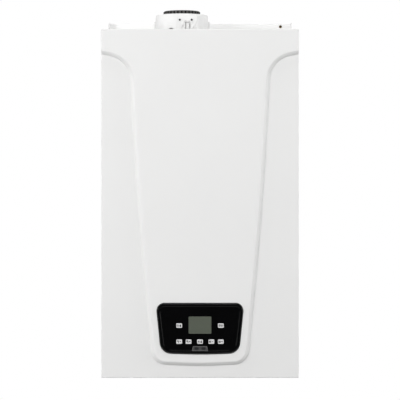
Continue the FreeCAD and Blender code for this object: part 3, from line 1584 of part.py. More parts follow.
def make_filling_valve():
    axis = ("filling_x", "connection_y")
    knob_top = "tray_floor - filling_knob_drop"
    knob_foot = f"{knob_top} - filling_knob_height"
    stem_foot = f"{knob_foot} + knob_cap"
    body = rod("z", axis, ("stub_top - filling_body", "stub_top"), "filling_radius")
    stem = rod("z", axis, (stem_foot, "stub_top - filling_body"), "filling_stem_radius")
    valve = fuse(body, stem)
    span = (knob_foot, knob_top)
    knob = fuse(rod("z", axis, span, "filling_knob_radius - knob_groove"),
                *grips("z", axis, span, "filling_knob_radius"))
    bore = rod("z", axis, (stem_foot, knob_top), "filling_stem_radius + shaft_clearance")
    piece("filling_knob", cut(knob, bore))
    return valve


def make_expansion_vessel():
    body = new_body("expansion_vessel")
    foot = "base + bracket_height"
    shape = rectangle("-vessel_half_width", "vessel_half_width", foot, f"{foot} + vessel_tall",
                      "vessel_fillet")
    pad(body, outline(body, "XZ", "frame_sheet", shape), "vessel_depth")
    front = -num("frame_sheet + vessel_depth")
    soften(body, "vessel_edge_fillet", lambda m: near(m.y, front))
    inner = rectangle("vessel_wall - vessel_half_width", "vessel_half_width - vessel_wall",
                      f"{foot} + vessel_wall",
                      f"{foot} + vessel_tall - vessel_wall", "vessel_fillet - vessel_wall")
    inside = outline(body, "XZ", "frame_sheet + vessel_wall", inner)
    pocket(body, inside, "vessel_depth - vessel_edge_fillet", reverse=True)
    neck_axis = ("vessel_neck_x", f"{foot} + vessel_tall / 2")
    neck = circles(body, "XZ", "frame_sheet", (neck_axis, "vessel_neck_radius"))
    pocket(body, neck, "vessel_wall", reverse=True)
    piece("expansion_vessel", body)


def make_condensate():
    axis = ("flue_x", "-condensate_reach")
    foot = "base + trap_foot"
    top = f"{foot} + trap_tall"
    cup = rod("z", axis, (foot, top), "trap_radius")
    cap = rod("z", axis, (f"{top} - trap_cap_height", top), "trap_cap_radius")
    collar = rod("z", axis, ("tray_top", foot), "trap_outlet_radius + spigot_wall")
    outlet = rod("z", axis, ("base - trap_outlet_drop", foot), "trap_outlet_radius")
    chamber = rod("z", axis, (f"{foot} + trap_wall", f"{top} - trap_cap_height"), "trap_radius - trap_wall")
    drain = rod("z", axis, ("base - trap_outlet_drop", f"{foot} + trap_wall"),
                "trap_outlet_radius - trap_wall")
    seat = rod("z", axis, (f"{top} - pipe_insert", top), "condensate_pipe_radius + spigot_clearance")
    entry = rod("z", axis, (f"{top} - trap_cap_height", top), "condensate_pipe_radius - water_pipe_wall")
    nut = locknut(axis, "trap_outlet_radius")
    trap = cut(fuse(cup, cap, collar, outlet, nut), chamber, drain, seat, entry)
    span = (f"{top} - pipe_insert", "shell_foot - condensate_spigot_length + pipe_insert")
    pipe = ring("z", axis, span, "condensate_pipe_radius", "condensate_pipe_radius - water_pipe_wall")
    piece("condensate_drain", group(trap, pipe))


def make_pressure_gauge():
    axis = ("-gauge_x", "-gauge_reach")
    foot = "tray_floor - gauge_bezel_height"
    lens_top = f"{foot} + gauge_lens_sheet"
    dial = f"{lens_top} + needle_space"
    bezel = rod("z", axis, (foot, "tray_floor"), "gauge_bezel_radius")
    case = rod("z", axis, (foot, "tray_floor + gauge_tall"), "gauge_radius")
    well = rod("z", axis, (foot, dial), "gauge_dial_radius")
    lens_seat = rod("z", axis, (foot, lens_top), "gauge_dial_radius + gauge_lens_ledge")
    pivot_top = f"{dial} + needle_pin_length"
    pivot = rod("z", axis, (dial, f"{pivot_top} + needle_pin_gap"), "needle_pin_radius + shaft_clearance")
    piece("pressure_gauge", cut(fuse(bezel, case), well, lens_seat, pivot))
    piece("gauge_lens", rod("z", axis, (foot, lens_top), "gauge_dial_radius + gauge_lens_ledge"))
    needle_foot = f"{lens_top} + needle_sheet"
    arm = block(("0", "needle_tail + needle_length"), ("0", "needle_width"),
                (needle_foot, f"{needle_foot} + needle_sheet"))
    arm.Placement = Placement(Vector(), Rotation(Vector(0, 0, 1), num("needle_rest")))
    bind(arm, "Placement.Rotation.Angle", "needle_rest")
    half = "needle_width / 2"
    bind(arm, "Placement.Base.x", f"-gauge_x - needle_tail * cos(needle_rest) + {half} * sin(needle_rest)")
    bind(arm, "Placement.Base.y",
         f"-gauge_reach - needle_tail * sin(needle_rest) - {half} * cos(needle_rest)")
    bind(arm, "Placement.Base.z", needle_foot)
    hub = rod("z", axis, (needle_foot, dial), "2 * needle_pin_radius")
    pin = rod("z", axis, (needle_foot, pivot_top), "needle_pin_radius")
    piece("gauge_needle", fuse(arm, hub, pin))


def make_cable_grommet():
    axis = ("grommet_x", "-grommet_reach")
    lower, upper = "tray_floor - grommet_lip", "tray_top + grommet_lip"
    body = rod("z", axis, (lower, upper), "grommet_radius")
    lips = [rod("z", axis, span, "grommet_flange") for span in ((lower, "tray_floor"), ("tray_top", upper))]
    piece("cable_grommet", cut(fuse(body, *lips), rod("z", axis, (lower, upper), "grommet_bore")))


# Control unit


def button_layout():
    """Name and centre, in X and height, of each push button."""
    places_across = ("-button_outer_x", "-button_inner_x", "0", "button_inner_x", "button_outer_x")
    upper = [("button_upper_left", "-button_outer_x", "button_upper_level"),
             ("button_upper_right", "button_outer_x", "button_upper_level")]
    lower = [(f"button_lower_{i}", x, "button_lower_level") for i, x in enumerate(places_across, start=1)]
    return upper + lower


def key_shape(x, level, grow):
    half, rise = f"(button_width / 2 + {grow})", f"(button_height / 2 + {grow})"
    return rectangle(f"{x} - {half}", f"{x} + {half}", f"base + {level} - {rise}",
                     f"base + {level} + {rise}",
                     "button_radius")


def display_shape(grow):
    half, rise = f"(display_width / 2 + {grow})", f"(display_height / 2 + {grow})"
    return rectangle(f"-{half}", half, f"base + display_level - {rise}", f"base + display_level + {rise}",
                     "button_radius")


def port_shape(grow):
    low_half, high_half = f"port_width / 2 + {grow}", f"port_width / 2 - port_slope + {grow}"
    low = f"base + port_level - port_height / 2 - {grow}"
    high = f"base + port_level + port_height / 2 + {grow}"
    return [(f"-({low_half})", low), (low_half, low), (high_half, high), (f"-({high_half})", high)]


def board_boss_centres():
    inset = "board_boss_radius - board_boss_margin"
    return [
        (f"{sign} * (display_board_half - {inset})", f"base + {level}")
        for sign in (-1, 1)
        for level in ("display_board_foot + board_boss_radius + board_boss_margin",
                      f"display_board_top - {inset}")
    ]


def make_fascia():
    body = new_body("fascia")
    plate = rectangle("-control_half_width", "control_half_width", "base + control_foot",
                      "base + control_top",
                      "plate_corner")
    pad(body, outline(body, "XZ", "plate_front - fascia_wall", plate), "fascia_wall")
    pad(body, outline(body, "XZ", "plate_front", fascia_outline("0")), "fascia_front - plate_front")
    front = -num("fascia_front")
    soften(body, "fascia_edge_fillet", lambda m: near(m.y, front))
    old_edges = edge_middles(body.Tip.Shape)
    panel = fascia_outline("-fascia_panel_inset")
    pocket(body, outline(body, "XZ", "fascia_front", panel), "fascia_panel_depth")
    soften(body, "fascia_panel_fillet", lambda m: near(m.y, front) and is_new(m, old_edges))
    hollow = fascia_outline("-fascia_wall")
    pocket(body, outline(body, "XZ", "plate_front - fascia_wall", hollow),
           "panel_back - plate_front + fascia_wall",
           reverse=True)
    bosses = circles(body, "XZ", "display_board_front",
                     *[(centre, "board_boss_radius") for centre in board_boss_centres()])
    pad(body, bosses, "panel_back - display_board_front")
    windows = [display_shape("display_clearance")]
    windows += [key_shape(x, level, "button_clearance") for _, x, level in button_layout()]
    pocket(body, outline(body, "XZ", "fascia_front", *windows), "fascia_front - panel_back")
    pocket(body, outline(body, "XZ", "fascia_front - fascia_panel_depth", port_shape("panel_gap")),
           "port_sheet")
    piece("fascia", body)


def make_display():
    body = new_body("display")
    pad(body, outline(body, "XZ", "display_board_front", display_shape("display_rim")),
        "panel_back - display_board_front")
    face = "fascia_front - fascia_panel_depth - display_sink"
    pad(body, outline(body, "XZ", "panel_back", display_shape("0")), f"{face} - panel_back")
    piece("display", body)


def make_buttons():
    for name, x, level in button_layout():
        body = new_body(name)
        back = "panel_back - button_rim_sheet"
        pad(body, outline(body, "XZ", back, key_shape(x, level, "button_rim")), "button_rim_sheet")
        pad(body, outline(body, "XZ", "panel_back", key_shape(x, level, "0")), "fascia_wall + button_proud")
        front = -num("panel_back + fascia_wall + button_proud")
        soften(body, "button_edge_fillet", lambda m: near(m.y, front))
        stem = circles(body, "XZ", back, ((x, f"base + {level}"), "button_stem_radius"))
        pad(body, stem, f"{back} - display_board_front - button_travel - panel_gap", reverse=True)
        piece(name, body)


def make_service_cover():
    body = new_body("service_cover")
    seat = "fascia_front - fascia_panel_depth - port_sheet"
    pad(body, outline(body, "XZ", seat, port_shape("0")), "port_sheet + port_proud")
    piece("service_cover", body)


def make_boards():
    board = block(("-display_board_half", "display_board_half"),
                  ("-display_board_front", "board_sheet - display_board_front"),
                  ("base + display_board_foot", "base + display_board_top"))
    low_x, high_x = "main_board_inset - control_half_width", "control_half_width - main_board_inset"
    low_z, high_z = "base + control_foot + main_board_inset", "base + control_top - main_board_inset"
    rear = "-control_back - control_wall - main_board_gap"
    face = f"{rear} - board_sheet"
    plate = block((low_x, high_x), (face, rear), (low_z, high_z))
    side, foot = f"{low_x} + component_inset", f"{low_z} + component_inset"
    transformer = block((side, f"{side} + transformer_size"), (f"{face} - transformer_size", face),
                        (foot, f"{foot} + transformer_size"))
    top = f"{high_z} - component_inset"
    relays = [
        block((f"{high_x} - {i} * relay_pitch", f"{high_x} - {i} * relay_pitch + relay_size"),
              (f"{face} - relay_size", face), (f"{top} - relay_size", top))
        for i in (2, 3, 4)
    ]
    piece("circuit_boards", group(board, fuse(plate, transformer, *relays)))


def make_control_box():
    sides = ("-control_half_width", "control_half_width")
    depth = ("fascia_wall - plate_front", "-control_back")
    tall = ("base + control_foot", "base + control_top")
    box = block(sides, depth, tall)
    inner = block((f"{sides[0]} + control_wall", f"{sides[1]} - control_wall"),
                  (depth[0], f"{depth[1]} - control_wall"),
                  (f"{tall[0]} + control_wall", f"{tall[1]} - control_wall"))
    pivot = ("-hinge_reach", "base + hinge_height")
    pin_end = "hinge_ear_x + hinge_ear_sheet"
    pins = [rod("x", pivot, (sides[1], pin_end), "hinge_pin_radius"),
            rod("x", pivot, (f"-({pin_end})", sides[0]), "hinge_pin_radius")]
    rear = "-control_back - control_wall"
    inset = "main_board_inset + standoff_inset"
    standoffs = [
        rod("y", (f"{sign} * (control_half_width - ({inset}))", f"base + {level}"),
            (f"{rear} - main_board_gap", rear), "board_boss_radius")
        for sign in (-1, 1)
        for level in (f"control_foot + {inset}", f"control_top - ({inset})")
    ]
    piece("control_box", fuse(cut(box, inner), *pins, *standoffs))


def build():
    fill_sheet()
    make_front_cover()
    make_cover_screws()
    make_rear_frame()
    make_earth_screw()
    make_top_panel()
    make_bottom_tray()
    make_flue_adapter()
    make_flue_fittings()
    make_flue_seal()
    make_heat_exchanger()
    make_exchanger_bracket()
    make_exchanger_coil()
    make_burner_door()
    make_electrodes()
    make_spark_generator()
    make_fan()
    make_fan_impeller()
    make_mixer()
    make_air_silencer()
    make_gas_train()
    make_connections()
    make_flow_group()
    make_return_group()
    make_water_pipes()
    make_plate_exchanger()
    piece("water_fittings", group(make_pump(), make_safety_valve(), make_filling_valve()))
    make_expansion_vessel()
    make_condensate()
    make_pressure_gauge()
    make_cable_grommet()
    make_fascia()
    make_display()
    make_buttons()
    make_service_cover()
    make_boards()
    make_control_box()
    doc.recompute()


def write_parts():
    """Refuses to write while any feature or sub-part is broken."""
    broken = [f.Name for f in doc.Objects if "Invalid" in f.State or "Error" in f.State]
    empty = [f.Label for f in pieces if f.Shape.isNull() or not f.Shape.Solids or not f.Shape.isValid()]
    if broken or empty:
        raise RuntimeError(f"features {broken}, sub-parts {empty}")
    os.makedirs("parts", exist_ok=True)
    for feature in pieces:
        feature.Shape.exportStep(f"parts/{feature.Label}.step")


build()
write_parts()
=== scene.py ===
"""Studio scene of a wall-hung condensing gas boiler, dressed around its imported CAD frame."""
import json
import math

import bmesh
import bpy
from mathutils import Matrix, Vector


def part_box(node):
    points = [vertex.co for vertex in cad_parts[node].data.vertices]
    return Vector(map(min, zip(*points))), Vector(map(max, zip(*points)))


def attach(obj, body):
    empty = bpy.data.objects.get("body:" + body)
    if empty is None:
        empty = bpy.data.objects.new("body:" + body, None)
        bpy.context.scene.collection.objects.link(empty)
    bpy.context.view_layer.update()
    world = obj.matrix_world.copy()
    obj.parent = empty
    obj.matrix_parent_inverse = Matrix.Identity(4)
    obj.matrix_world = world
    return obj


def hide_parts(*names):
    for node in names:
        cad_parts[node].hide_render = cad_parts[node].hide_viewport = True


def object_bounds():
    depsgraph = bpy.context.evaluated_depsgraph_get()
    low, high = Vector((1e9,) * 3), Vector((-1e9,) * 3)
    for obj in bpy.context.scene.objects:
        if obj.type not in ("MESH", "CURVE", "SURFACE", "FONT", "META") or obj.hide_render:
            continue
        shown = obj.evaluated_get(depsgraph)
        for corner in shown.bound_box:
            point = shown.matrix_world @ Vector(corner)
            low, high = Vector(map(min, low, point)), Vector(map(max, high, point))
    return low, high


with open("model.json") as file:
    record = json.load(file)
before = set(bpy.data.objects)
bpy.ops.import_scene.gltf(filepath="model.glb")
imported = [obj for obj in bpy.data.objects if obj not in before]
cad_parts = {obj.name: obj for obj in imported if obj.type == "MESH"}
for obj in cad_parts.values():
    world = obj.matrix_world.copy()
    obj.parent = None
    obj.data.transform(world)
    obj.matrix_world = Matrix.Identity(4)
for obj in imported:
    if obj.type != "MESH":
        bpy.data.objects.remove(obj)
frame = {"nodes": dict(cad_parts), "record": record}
cad_low, cad_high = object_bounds()
nodes = frame["nodes"]
MM = 0.001
SHARP_ANGLE = math.radians(35)

# The photograph: a long lens, level with the middle of the casing
FRAME_PX = 400
CASING_CENTRE_PX = 203.6
MM_PER_PX = 2.0225
CAMERA_DISTANCE = 4.2
FAR_CLIP = 50


# Materials


class Nodes:
    """Short ways to add nodes to a shader tree."""

    def __init__(self, tree):
        self.tree = tree

    def node(self, kind, **settings):
        made = self.tree.nodes.new(f"ShaderNode{kind}")
        for name, value in settings.items():
            setattr(made, name, value)
        return made

    def link(self, source, target):
        self.tree.links.new(source, target)

    def feed(self, socket, value):
        """Links an output into a socket, or sets a plain number on it."""
        if isinstance(value, (int, float)):
            socket.default_value = value
        else:
            self.link(value, socket)

    def maths(self, operation, *values):
        made = self.node("Math", operation=operation)
        for socket, value in zip(made.inputs, values):
            self.feed(socket, value)
        return made.outputs[0]

    def choose(self, factor, low, high):
        """A number that goes from low to high as the factor goes from 0 to 1."""
        made = self.node("Mix")
        for name, value in (("Factor", factor), ("A", low), ("B", high)):
            self.feed(made.inputs[name], value)
        return made.outputs["Result"]

    def remap(self, factor, low, high, start=0.3, stop=0.7):
        spread = self.node("MapRange")
        for socket, value in zip(("From Min", "From Max", "To Min", "To Max"), (start, stop, low, high)):
            spread.inputs[socket].default_value = value
        self.link(factor, spread.inputs["Value"])
        return spread.outputs["Result"]


class Surface(Nodes):
    """A Principled material with short ways to add procedural detail."""

    def __init__(self, name):
        self.material = bpy.data.materials.new(name)
        self.material.use_nodes = True
        super().__init__(self.material.node_tree)
        self.shader = self.tree.nodes["Principled BSDF"]

    def set(self, socket, value):
        self.shader.inputs[socket].default_value = value
        return self

    def place(self, stretch=(1, 1, 1)):
        """Coordinates in metres in the piece's own frame, stretched along an axis for streaks."""
        where = self.node("TexCoord").outputs["Object"]
        if stretch == (1, 1, 1):
            return where
        mapping = self.node("Mapping")
        mapping.inputs["Scale"].default_value = stretch
        self.link(where, mapping.inputs["Vector"])
        return mapping.outputs["Vector"]

    def noise(self, scale, detail=3.0, stretch=(1, 1, 1)):
        texture = self.node("TexNoise")
        texture.inputs["Scale"].default_value = scale
        texture.inputs["Detail"].default_value = detail
        self.link(self.place(stretch), texture.inputs["Vector"])
        return texture.outputs["Fac"]

    def cells(self, scale):
        texture = self.node("TexVoronoi")
        texture.inputs["Scale"].default_value = scale
        self.link(self.place(), texture.inputs["Vector"])
        return texture.outputs["Color"]

    def colour(self, factor, dark, light):
        """Base colour that wanders between two shades."""
        blend = self.node("Mix", data_type="RGBA")
        blend.inputs["A"].default_value = (*dark, 1)
        blend.inputs["B"].default_value = (*light, 1)
        self.link(factor, blend.inputs["Factor"])
        self.link(blend.outputs["Result"], self.shader.inputs["Base Color"])
        return self

    def gloss(self, factor, low, high):
        self.link(self.remap(factor, low, high), self.shader.inputs["Roughness"])
        return self

    def bump(self, height, strength, depth):
        relief = self.node("Bump")
        relief.inputs["Strength"].default_value = strength
        relief.inputs["Distance"].default_value = depth
        self.link(height, relief.inputs["Height"])
        self.link(relief.outputs["Normal"], self.shader.inputs["Normal"])
        return self


def shade(colour, factor):
    return tuple(min(1.0, channel * factor) for channel in colour)


def coated(name, colour, roughness, peel=0.05, drift=0.015):
    """Powder coat or moulded plastic: faint colour drift, uneven gloss and an orange-peel grain."""
    surface = Surface(name)
    surface.colour(surface.noise(6.0, 2.0), shade(colour, 1 - drift), shade(colour, 1 + drift))
    surface.gloss(surface.noise(90.0), roughness - 0.04, roughness + 0.05)
    return surface.bump(surface.noise(1400.0, 2.0), peel, 0.0002)


def moulded(name, colour, roughness, grain=0.12, grain_scale=2600.0):
    """Fine spark-eroded plastic."""
    surface = Surface(name)
    surface.colour(surface.noise(60.0), shade(colour, 0.92), shade(colour, 1.08))
    surface.gloss(surface.noise(220.0), roughness - 0.06, roughness + 0.06)
    return surface.bump(surface.noise(grain_scale, 2.0), grain, 0.0002)


def metal(name, colour, roughness, streak=(1, 1, 1), grain=0.06, scale=700.0):
    """Bare metal with drawn streaks or a cast skin, and slight tarnish."""
    surface = Surface(name).set("Metallic", 1.0)
    surface.colour(surface.noise(35.0, 5.0), shade(colour, 0.82), shade(colour, 1.06))
    surface.gloss(surface.noise(scale / 4, 3.0, streak), roughness - 0.08, roughness + 0.1)
    return surface.bump(surface.noise(scale, 3.0, streak), grain, 0.0003)


def galvanised(name, colour, roughness):
    """Zinc-dipped sheet with its spangle of flat crystals."""
    surface = Surface(name).set("Metallic", 1.0)
    spangle = surface.cells(70.0)
    surface.colour(spangle, shade(colour, 0.78), shade(colour, 1.05))
    surface.gloss(spangle, roughness - 0.06, roughness + 0.12)
    return surface.bump(surface.noise(900.0), 0.04, 0.0002)


def liquid_crystal(name):
    """Unlit grey-green display: a faint cell grid under clear plastic."""
    surface = Surface(name).set("Roughness", 0.12).set("IOR", 1.25)
    surface.colour(surface.noise(14.0, 1.0), (0.085, 0.097, 0.077), (0.105, 0.116, 0.093))
    grid = surface.node("TexBrick", offset=0.0)
    grid.inputs["Scale"].default_value = 1300.0
    grid.inputs["Mortar Size"].default_value = 0.03
    grid.inputs["Brick Width"].default_value = 1.0
    grid.inputs["Row Height"].default_value = 1.0
    surface.link(surface.place(), grid.inputs["Vector"])
    return surface.bump(grid.outputs["Fac"], 0.03, 0.0001)


def lacquer_black(name):
    """Piano-black plastic with faint wipe marks in its gloss."""
    surface = Surface(name).set("IOR", 1.45)
    surface.colour(surface.noise(30.0), (0.0012, 0.0012, 0.0014), (0.0025, 0.0025, 0.0028))
    surface.gloss(surface.noise(50.0, 5.0, (1, 1, 0.3)), 0.04, 0.09)
    return surface.bump(surface.noise(300.0, 2.0), 0.006, 0.0002)


def ribbed_rubber(name, axis, groove_radius, rib_radius, flank=0.4):
    """Black ribs round an axis, with grooves painted grey as a painted highlight for the glints between the
    ribs; the grey ends part of the way up the flanks.
    """
    surface = Surface(name).set("Roughness", 0.6).set("Specular IOR Level", 0.05)
    centred = surface.node("VectorMath", operation="SUBTRACT")
    surface.link(surface.place(), centred.inputs[0])
    centred.inputs[1].default_value = (*axis, 0)
    flat = surface.node("VectorMath", operation="MULTIPLY")
    surface.link(centred.outputs[0], flat.inputs[0])
    flat.inputs[1].default_value = (1, 1, 0)
    reach = surface.node("VectorMath", operation="LENGTH")
    surface.link(flat.outputs[0], reach.inputs[0])
    edge = groove_radius + (rib_radius - groove_radius) * flank
    rise = surface.remap(reach.outputs["Value"], 0, 1, groove_radius, edge)
    # Grey in the grooves, black on the ribs: the grey is a painted highlight standing in for glints between
    # the ribs
    surface.colour(rise, (0.11, 0.11, 0.107), (0.002, 0.002, 0.002))
    return surface.bump(surface.noise(1500.0, 2.0), 0.2, 0.0002)


def threaded(name, colour, roughness, pitch, top):
    """Turned metal with a screw thread below one height."""
    surface = metal(name, colour, roughness)
    split = surface.node("SeparateXYZ")
    surface.link(surface.place(), split.inputs[0])
    wave = surface.maths("SINE", surface.maths("MULTIPLY", split.outputs["Z"], math.tau / pitch))
    below = surface.maths("LESS_THAN", split.outputs["Z"], top)
    return surface.bump(surface.maths("MULTIPLY", wave, below), 1.0, pitch / 4)


def clear_lens(name):
    surface = Surface(name).set("Transmission Weight", 1.0).set("IOR", 1.3)
    surface.gloss(surface.noise(120.0), 0.02, 0.06)
    return surface


def circuit_board(name):
    """Green solder resist with paler tracks."""
    surface = Surface(name).set("Roughness", 0.35)
    tracks = surface.node("TexBrick", offset=0.4)
    tracks.inputs["Scale"].default_value = 120.0
    tracks.inputs["Mortar Size"].default_value = 0.06
    surface.link(surface.place(), tracks.inputs["Vector"])
    surface.colour(tracks.outputs["Fac"], (0.010, 0.085, 0.030), (0.030, 0.16, 0.060))
    return surface.bump(tracks.outputs["Fac"], 0.1, 0.0001)


WHITE_PAINT = (0.80, 0.80, 0.795)
SEAL_GROOVE, SEAL_RIB = 37.4 * MM, 38.1 * MM
THREAD_PITCH = 1.81 * MM
BRASS = (0.78, 0.56, 0.25)
STEEL = (0.62, 0.62, 0.63)
tray_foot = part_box("bottom_tray")[0].z
seal_low, seal_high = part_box("flue_seal")
flue_axis = ((seal_low.x + seal_high.x) / 2, (seal_low.y + seal_high.y) / 2)
finishes = {
    "painted_white": coated("painted_white", WHITE_PAINT, 0.42),
    "zinc_sheet": galvanised("zinc_sheet", (0.62, 0.63, 0.65), 0.38),
    "white_plastic": moulded("white_plastic", (0.84, 0.84, 0.835), 0.45, 0.05),
    "black_rubber": moulded("black_rubber", (0.012, 0.012, 0.013), 0.62, 0.25, 1500.0),
    "grey_rubber": moulded("grey_rubber", (0.13, 0.13, 0.13), 0.7, 0.3, 1200.0),
    "gloss_black": lacquer_black("gloss_black"),
    "display": liquid_crystal("display"),
    "button_grey": moulded("button_grey", (0.70, 0.70, 0.70), 0.4, 0.04),
    "cover_grey": moulded("cover_grey", (0.062, 0.062, 0.062), 0.45, 0.1),
    "black_plastic": moulded("black_plastic", (0.018, 0.018, 0.020), 0.5),
    "grey_plastic": moulded("grey_plastic", (0.23, 0.24, 0.25), 0.5),
    "red_plastic": moulded("red_plastic", (0.45, 0.018, 0.015), 0.4),
    "blue_plastic": moulded("blue_plastic", (0.012, 0.05, 0.30), 0.4),
    "steel": metal("steel", STEEL, 0.32, (1, 14, 1)),
    "yellow_zinc": metal("yellow_zinc", (0.26, 0.17, 0.07), 0.36),
    "aluminium": metal("aluminium", (0.76, 0.77, 0.78), 0.42, (1, 1, 1), 0.22, 1100.0),
    "brass": metal("brass", BRASS, 0.3),
    "copper": metal("copper", (0.80, 0.40, 0.26), 0.27, (1, 1, 12)),
    "red_paint": coated("red_paint", (0.36, 0.022, 0.016), 0.4, 0.06, 0.06),
    "board_green": circuit_board("board_green"),
    "clear": clear_lens("clear"),
    "needle_red": moulded("needle_red", (0.5, 0.02, 0.012), 0.5, 0.02),
    "ceramic": moulded("ceramic", (0.72, 0.70, 0.65), 0.3, 0.03),
}


# Nodes with a finish of their own kind within their slot
own_finishes = {
    # A lighter copy of the white paint, as painted light: the frame's upstand above the roof reads as lit
    # to white
    "rear_frame": coated("frame_white_painted_light", (0.95, 0.95, 0.945), 0.5),
    # A slightly darker copy of the white plastic, as painted shade that tones down the light on the collar
    "flue_adapter": moulded("collar_plastic", (0.80, 0.80, 0.795), 0.45, 0.05),
    "flue_seal": ribbed_rubber("seal_rubber", flue_axis, SEAL_GROOVE, SEAL_RIB),
    "water_connections": threaded("threaded_brass", BRASS, 0.3, THREAD_PITCH, tray_foot),
    "gas_connection": threaded("threaded_steel", STEEL, 0.32, THREAD_PITCH, tray_foot),
}
port_trim = moulded("port_trim", (0.12, 0.12, 0.12), 0.45, 0.1)
sign_ink = moulded("sign_ink", (0.010, 0.010, 0.011), 0.6, 0.02)


def dress_nodes():
    """Gives every CAD node its own finish, or that of its record slot."""
    for subpart in frame["record"]["subparts"]:
        mesh = nodes[subpart["node"]].data
        finish = own_finishes.get(subpart["node"], finishes[subpart["material_slot"]])
        mesh.materials.clear()
        mesh.materials.append(finish.material)


# Shapes


def add_piece(name, builder, slot, body, replaced=(), finish=None):
    """A new piece that rides a body, wears a slot's finish and may stand for CAD nodes."""
    bmesh.ops.recalc_face_normals(builder, faces=builder.faces)
    mesh = bpy.data.meshes.new(name)
    builder.to_mesh(mesh)
    builder.free()
    mesh.shade_smooth()
    mesh.set_sharp_from_angle(angle=SHARP_ANGLE)
    mesh.materials.append((finish or finishes[slot]).material)
    made = bpy.data.objects.new(name, mesh)
    bpy.context.scene.collection.objects.link(made)
    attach(made, body)
    if replaced:
        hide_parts(*replaced)
    return made


def loft(builder, loops):
    """Skins closed loops of equal length, one after the other, and caps both ends."""
    rows = [[builder.verts.new(point) for point in loop] for loop in loops]
    for lower, upper in zip(rows, rows[1:]):
        for i, corner in enumerate(lower):
            j = (i + 1) % len(lower)
            builder.faces.new((corner, lower[j], upper[j], upper[i]))
    builder.faces.new(rows[0][::-1])
    builder.faces.new(rows[-1])


def rounded_rectangle(width, height, radius, steps=5):
    """Points round a rectangle with round corners, about the origin."""
    points = []
    for quarter, (across, up) in enumerate(((1, 1), (-1, 1), (-1, -1), (1, -1))):
        for step in range(steps + 1):
            angle = math.pi / 2 * (quarter + step / steps)
            points.append((across * (width / 2 - radius) + radius * math.cos(angle),
                           up * (height / 2 - radius) + radius * math.sin(angle)))
    return points


# Signs, in millimetres about their own middle


def disc(radius, x=0.0, z=0.0, sides=20):
    turns = [math.tau * i / sides for i in range(sides)]
    return [(x + radius * math.cos(turn), z + radius * math.sin(turn)) for turn in turns]


def bar(width, height, x=0.0, z=0.0, turn=0.0):
    corners = [(sx * width / 2, sz * height / 2) for sx, sz in ((-1, -1), (1, -1), (1, 1), (-1, 1))]
    cos, sin = math.cos(turn), math.sin(turn)
    return [(x + u * cos - v * sin, z + u * sin + v * cos) for u, v in corners]


def drop(radius, x=0.0, z=0.0, steps=14):
    """A round foot drawn up to a point."""
    turns = [math.radians(150 + 240 * i / steps) for i in range(steps + 1)]
    foot = [(x + radius * math.cos(turn), z + radius * math.sin(turn)) for turn in turns]
    return [(x, z + 2.2 * radius), *foot]


def arc(radius, thickness, start, stop, steps=18):
    """A band along part of a circle, between two angles in degrees."""
    turns = [math.radians(start + (stop - start) * i / steps) for i in range(steps + 1)]
    outer = [(radius * math.cos(turn), radius * math.sin(turn)) for turn in turns]
    inner = [(u * (1 - thickness / radius), v * (1 - thickness / radius)) for u, v in reversed(outer)]
    return outer + inner


SUN_TURNS = [math.tau * i / 8 for i in range(8)]
signs = {
    "tap": [
        bar(2.9, 1.2, -0.1, 0.8), bar(1.1, 1.2, 0.9, 0.2), bar(0.8, 1.0, -0.4, 1.5),
        drop(0.6, 0.9, -1.4),
    ],
    "radiator": [bar(0.8, 2.9, x) for x in (-1.2, 0, 1.2)] + [bar(3.3, 0.55, 0, z) for z in (-1.0, 1.0)],
    "sun": [disc(1.0)] + [bar(0.6, 0.5, 1.6 * math.cos(t), 1.6 * math.sin(t), t) for t in SUN_TURNS],
    "flame": [drop(1.3, 0, -0.6)],
    "power": [arc(1.7, 0.75, 125, 415), bar(0.75, 1.7, 0, 0.9)],
    "reset": [arc(1.6, 0.75, 70, 360), [(0.4, 0.1), (2.0, 0.1), (1.2, 1.3)]],
    "menu": [bar(2.9, 0.75, 0, z) for z in (-1.2, 0, 1.2)],
    "minus": [bar(2.1, 0.9)],
    "plus": [bar(2.1, 0.9), bar(0.9, 2.1)],
}
key_signs = {
    "button_upper_left": ("reset", "flame"),
    "button_upper_right": ("menu", "power"),
    "button_lower_1": ("tap", "minus"),
    "button_lower_2": ("tap", "plus"),
    "button_lower_3": ("sun", "flame"),
    "button_lower_4": ("radiator", "minus"),
    "button_lower_5": ("radiator", "plus"),
}


# Control panel


KEY_CORNER, KEY_EDGE, KEY_DISH = 1.9 * MM, 0.5 * MM, 0.12 * MM
KEY_DEPTH, KEY_RIM, KEY_RIM_SHEET = 3.5 * MM, 1.5 * MM, 1.4 * MM
KEY_PLAY = 0.02 * MM
# The stem's corners stay under its radius, so that no two of its points fall together
KEY_STEM, KEY_STEM_CORNER = 2.0 * MM, 1.9 * MM
SIGN_OFFSET = 2.45 * MM
SIGN_SCALE = 1.35 * MM
INK = 0.04 * MM


def upright(points, x, y, z, scale=1.0):
    """Flat points, stood up facing the front at one depth."""
    return [(x + u * scale, y, z + v * scale) for u, v in points]


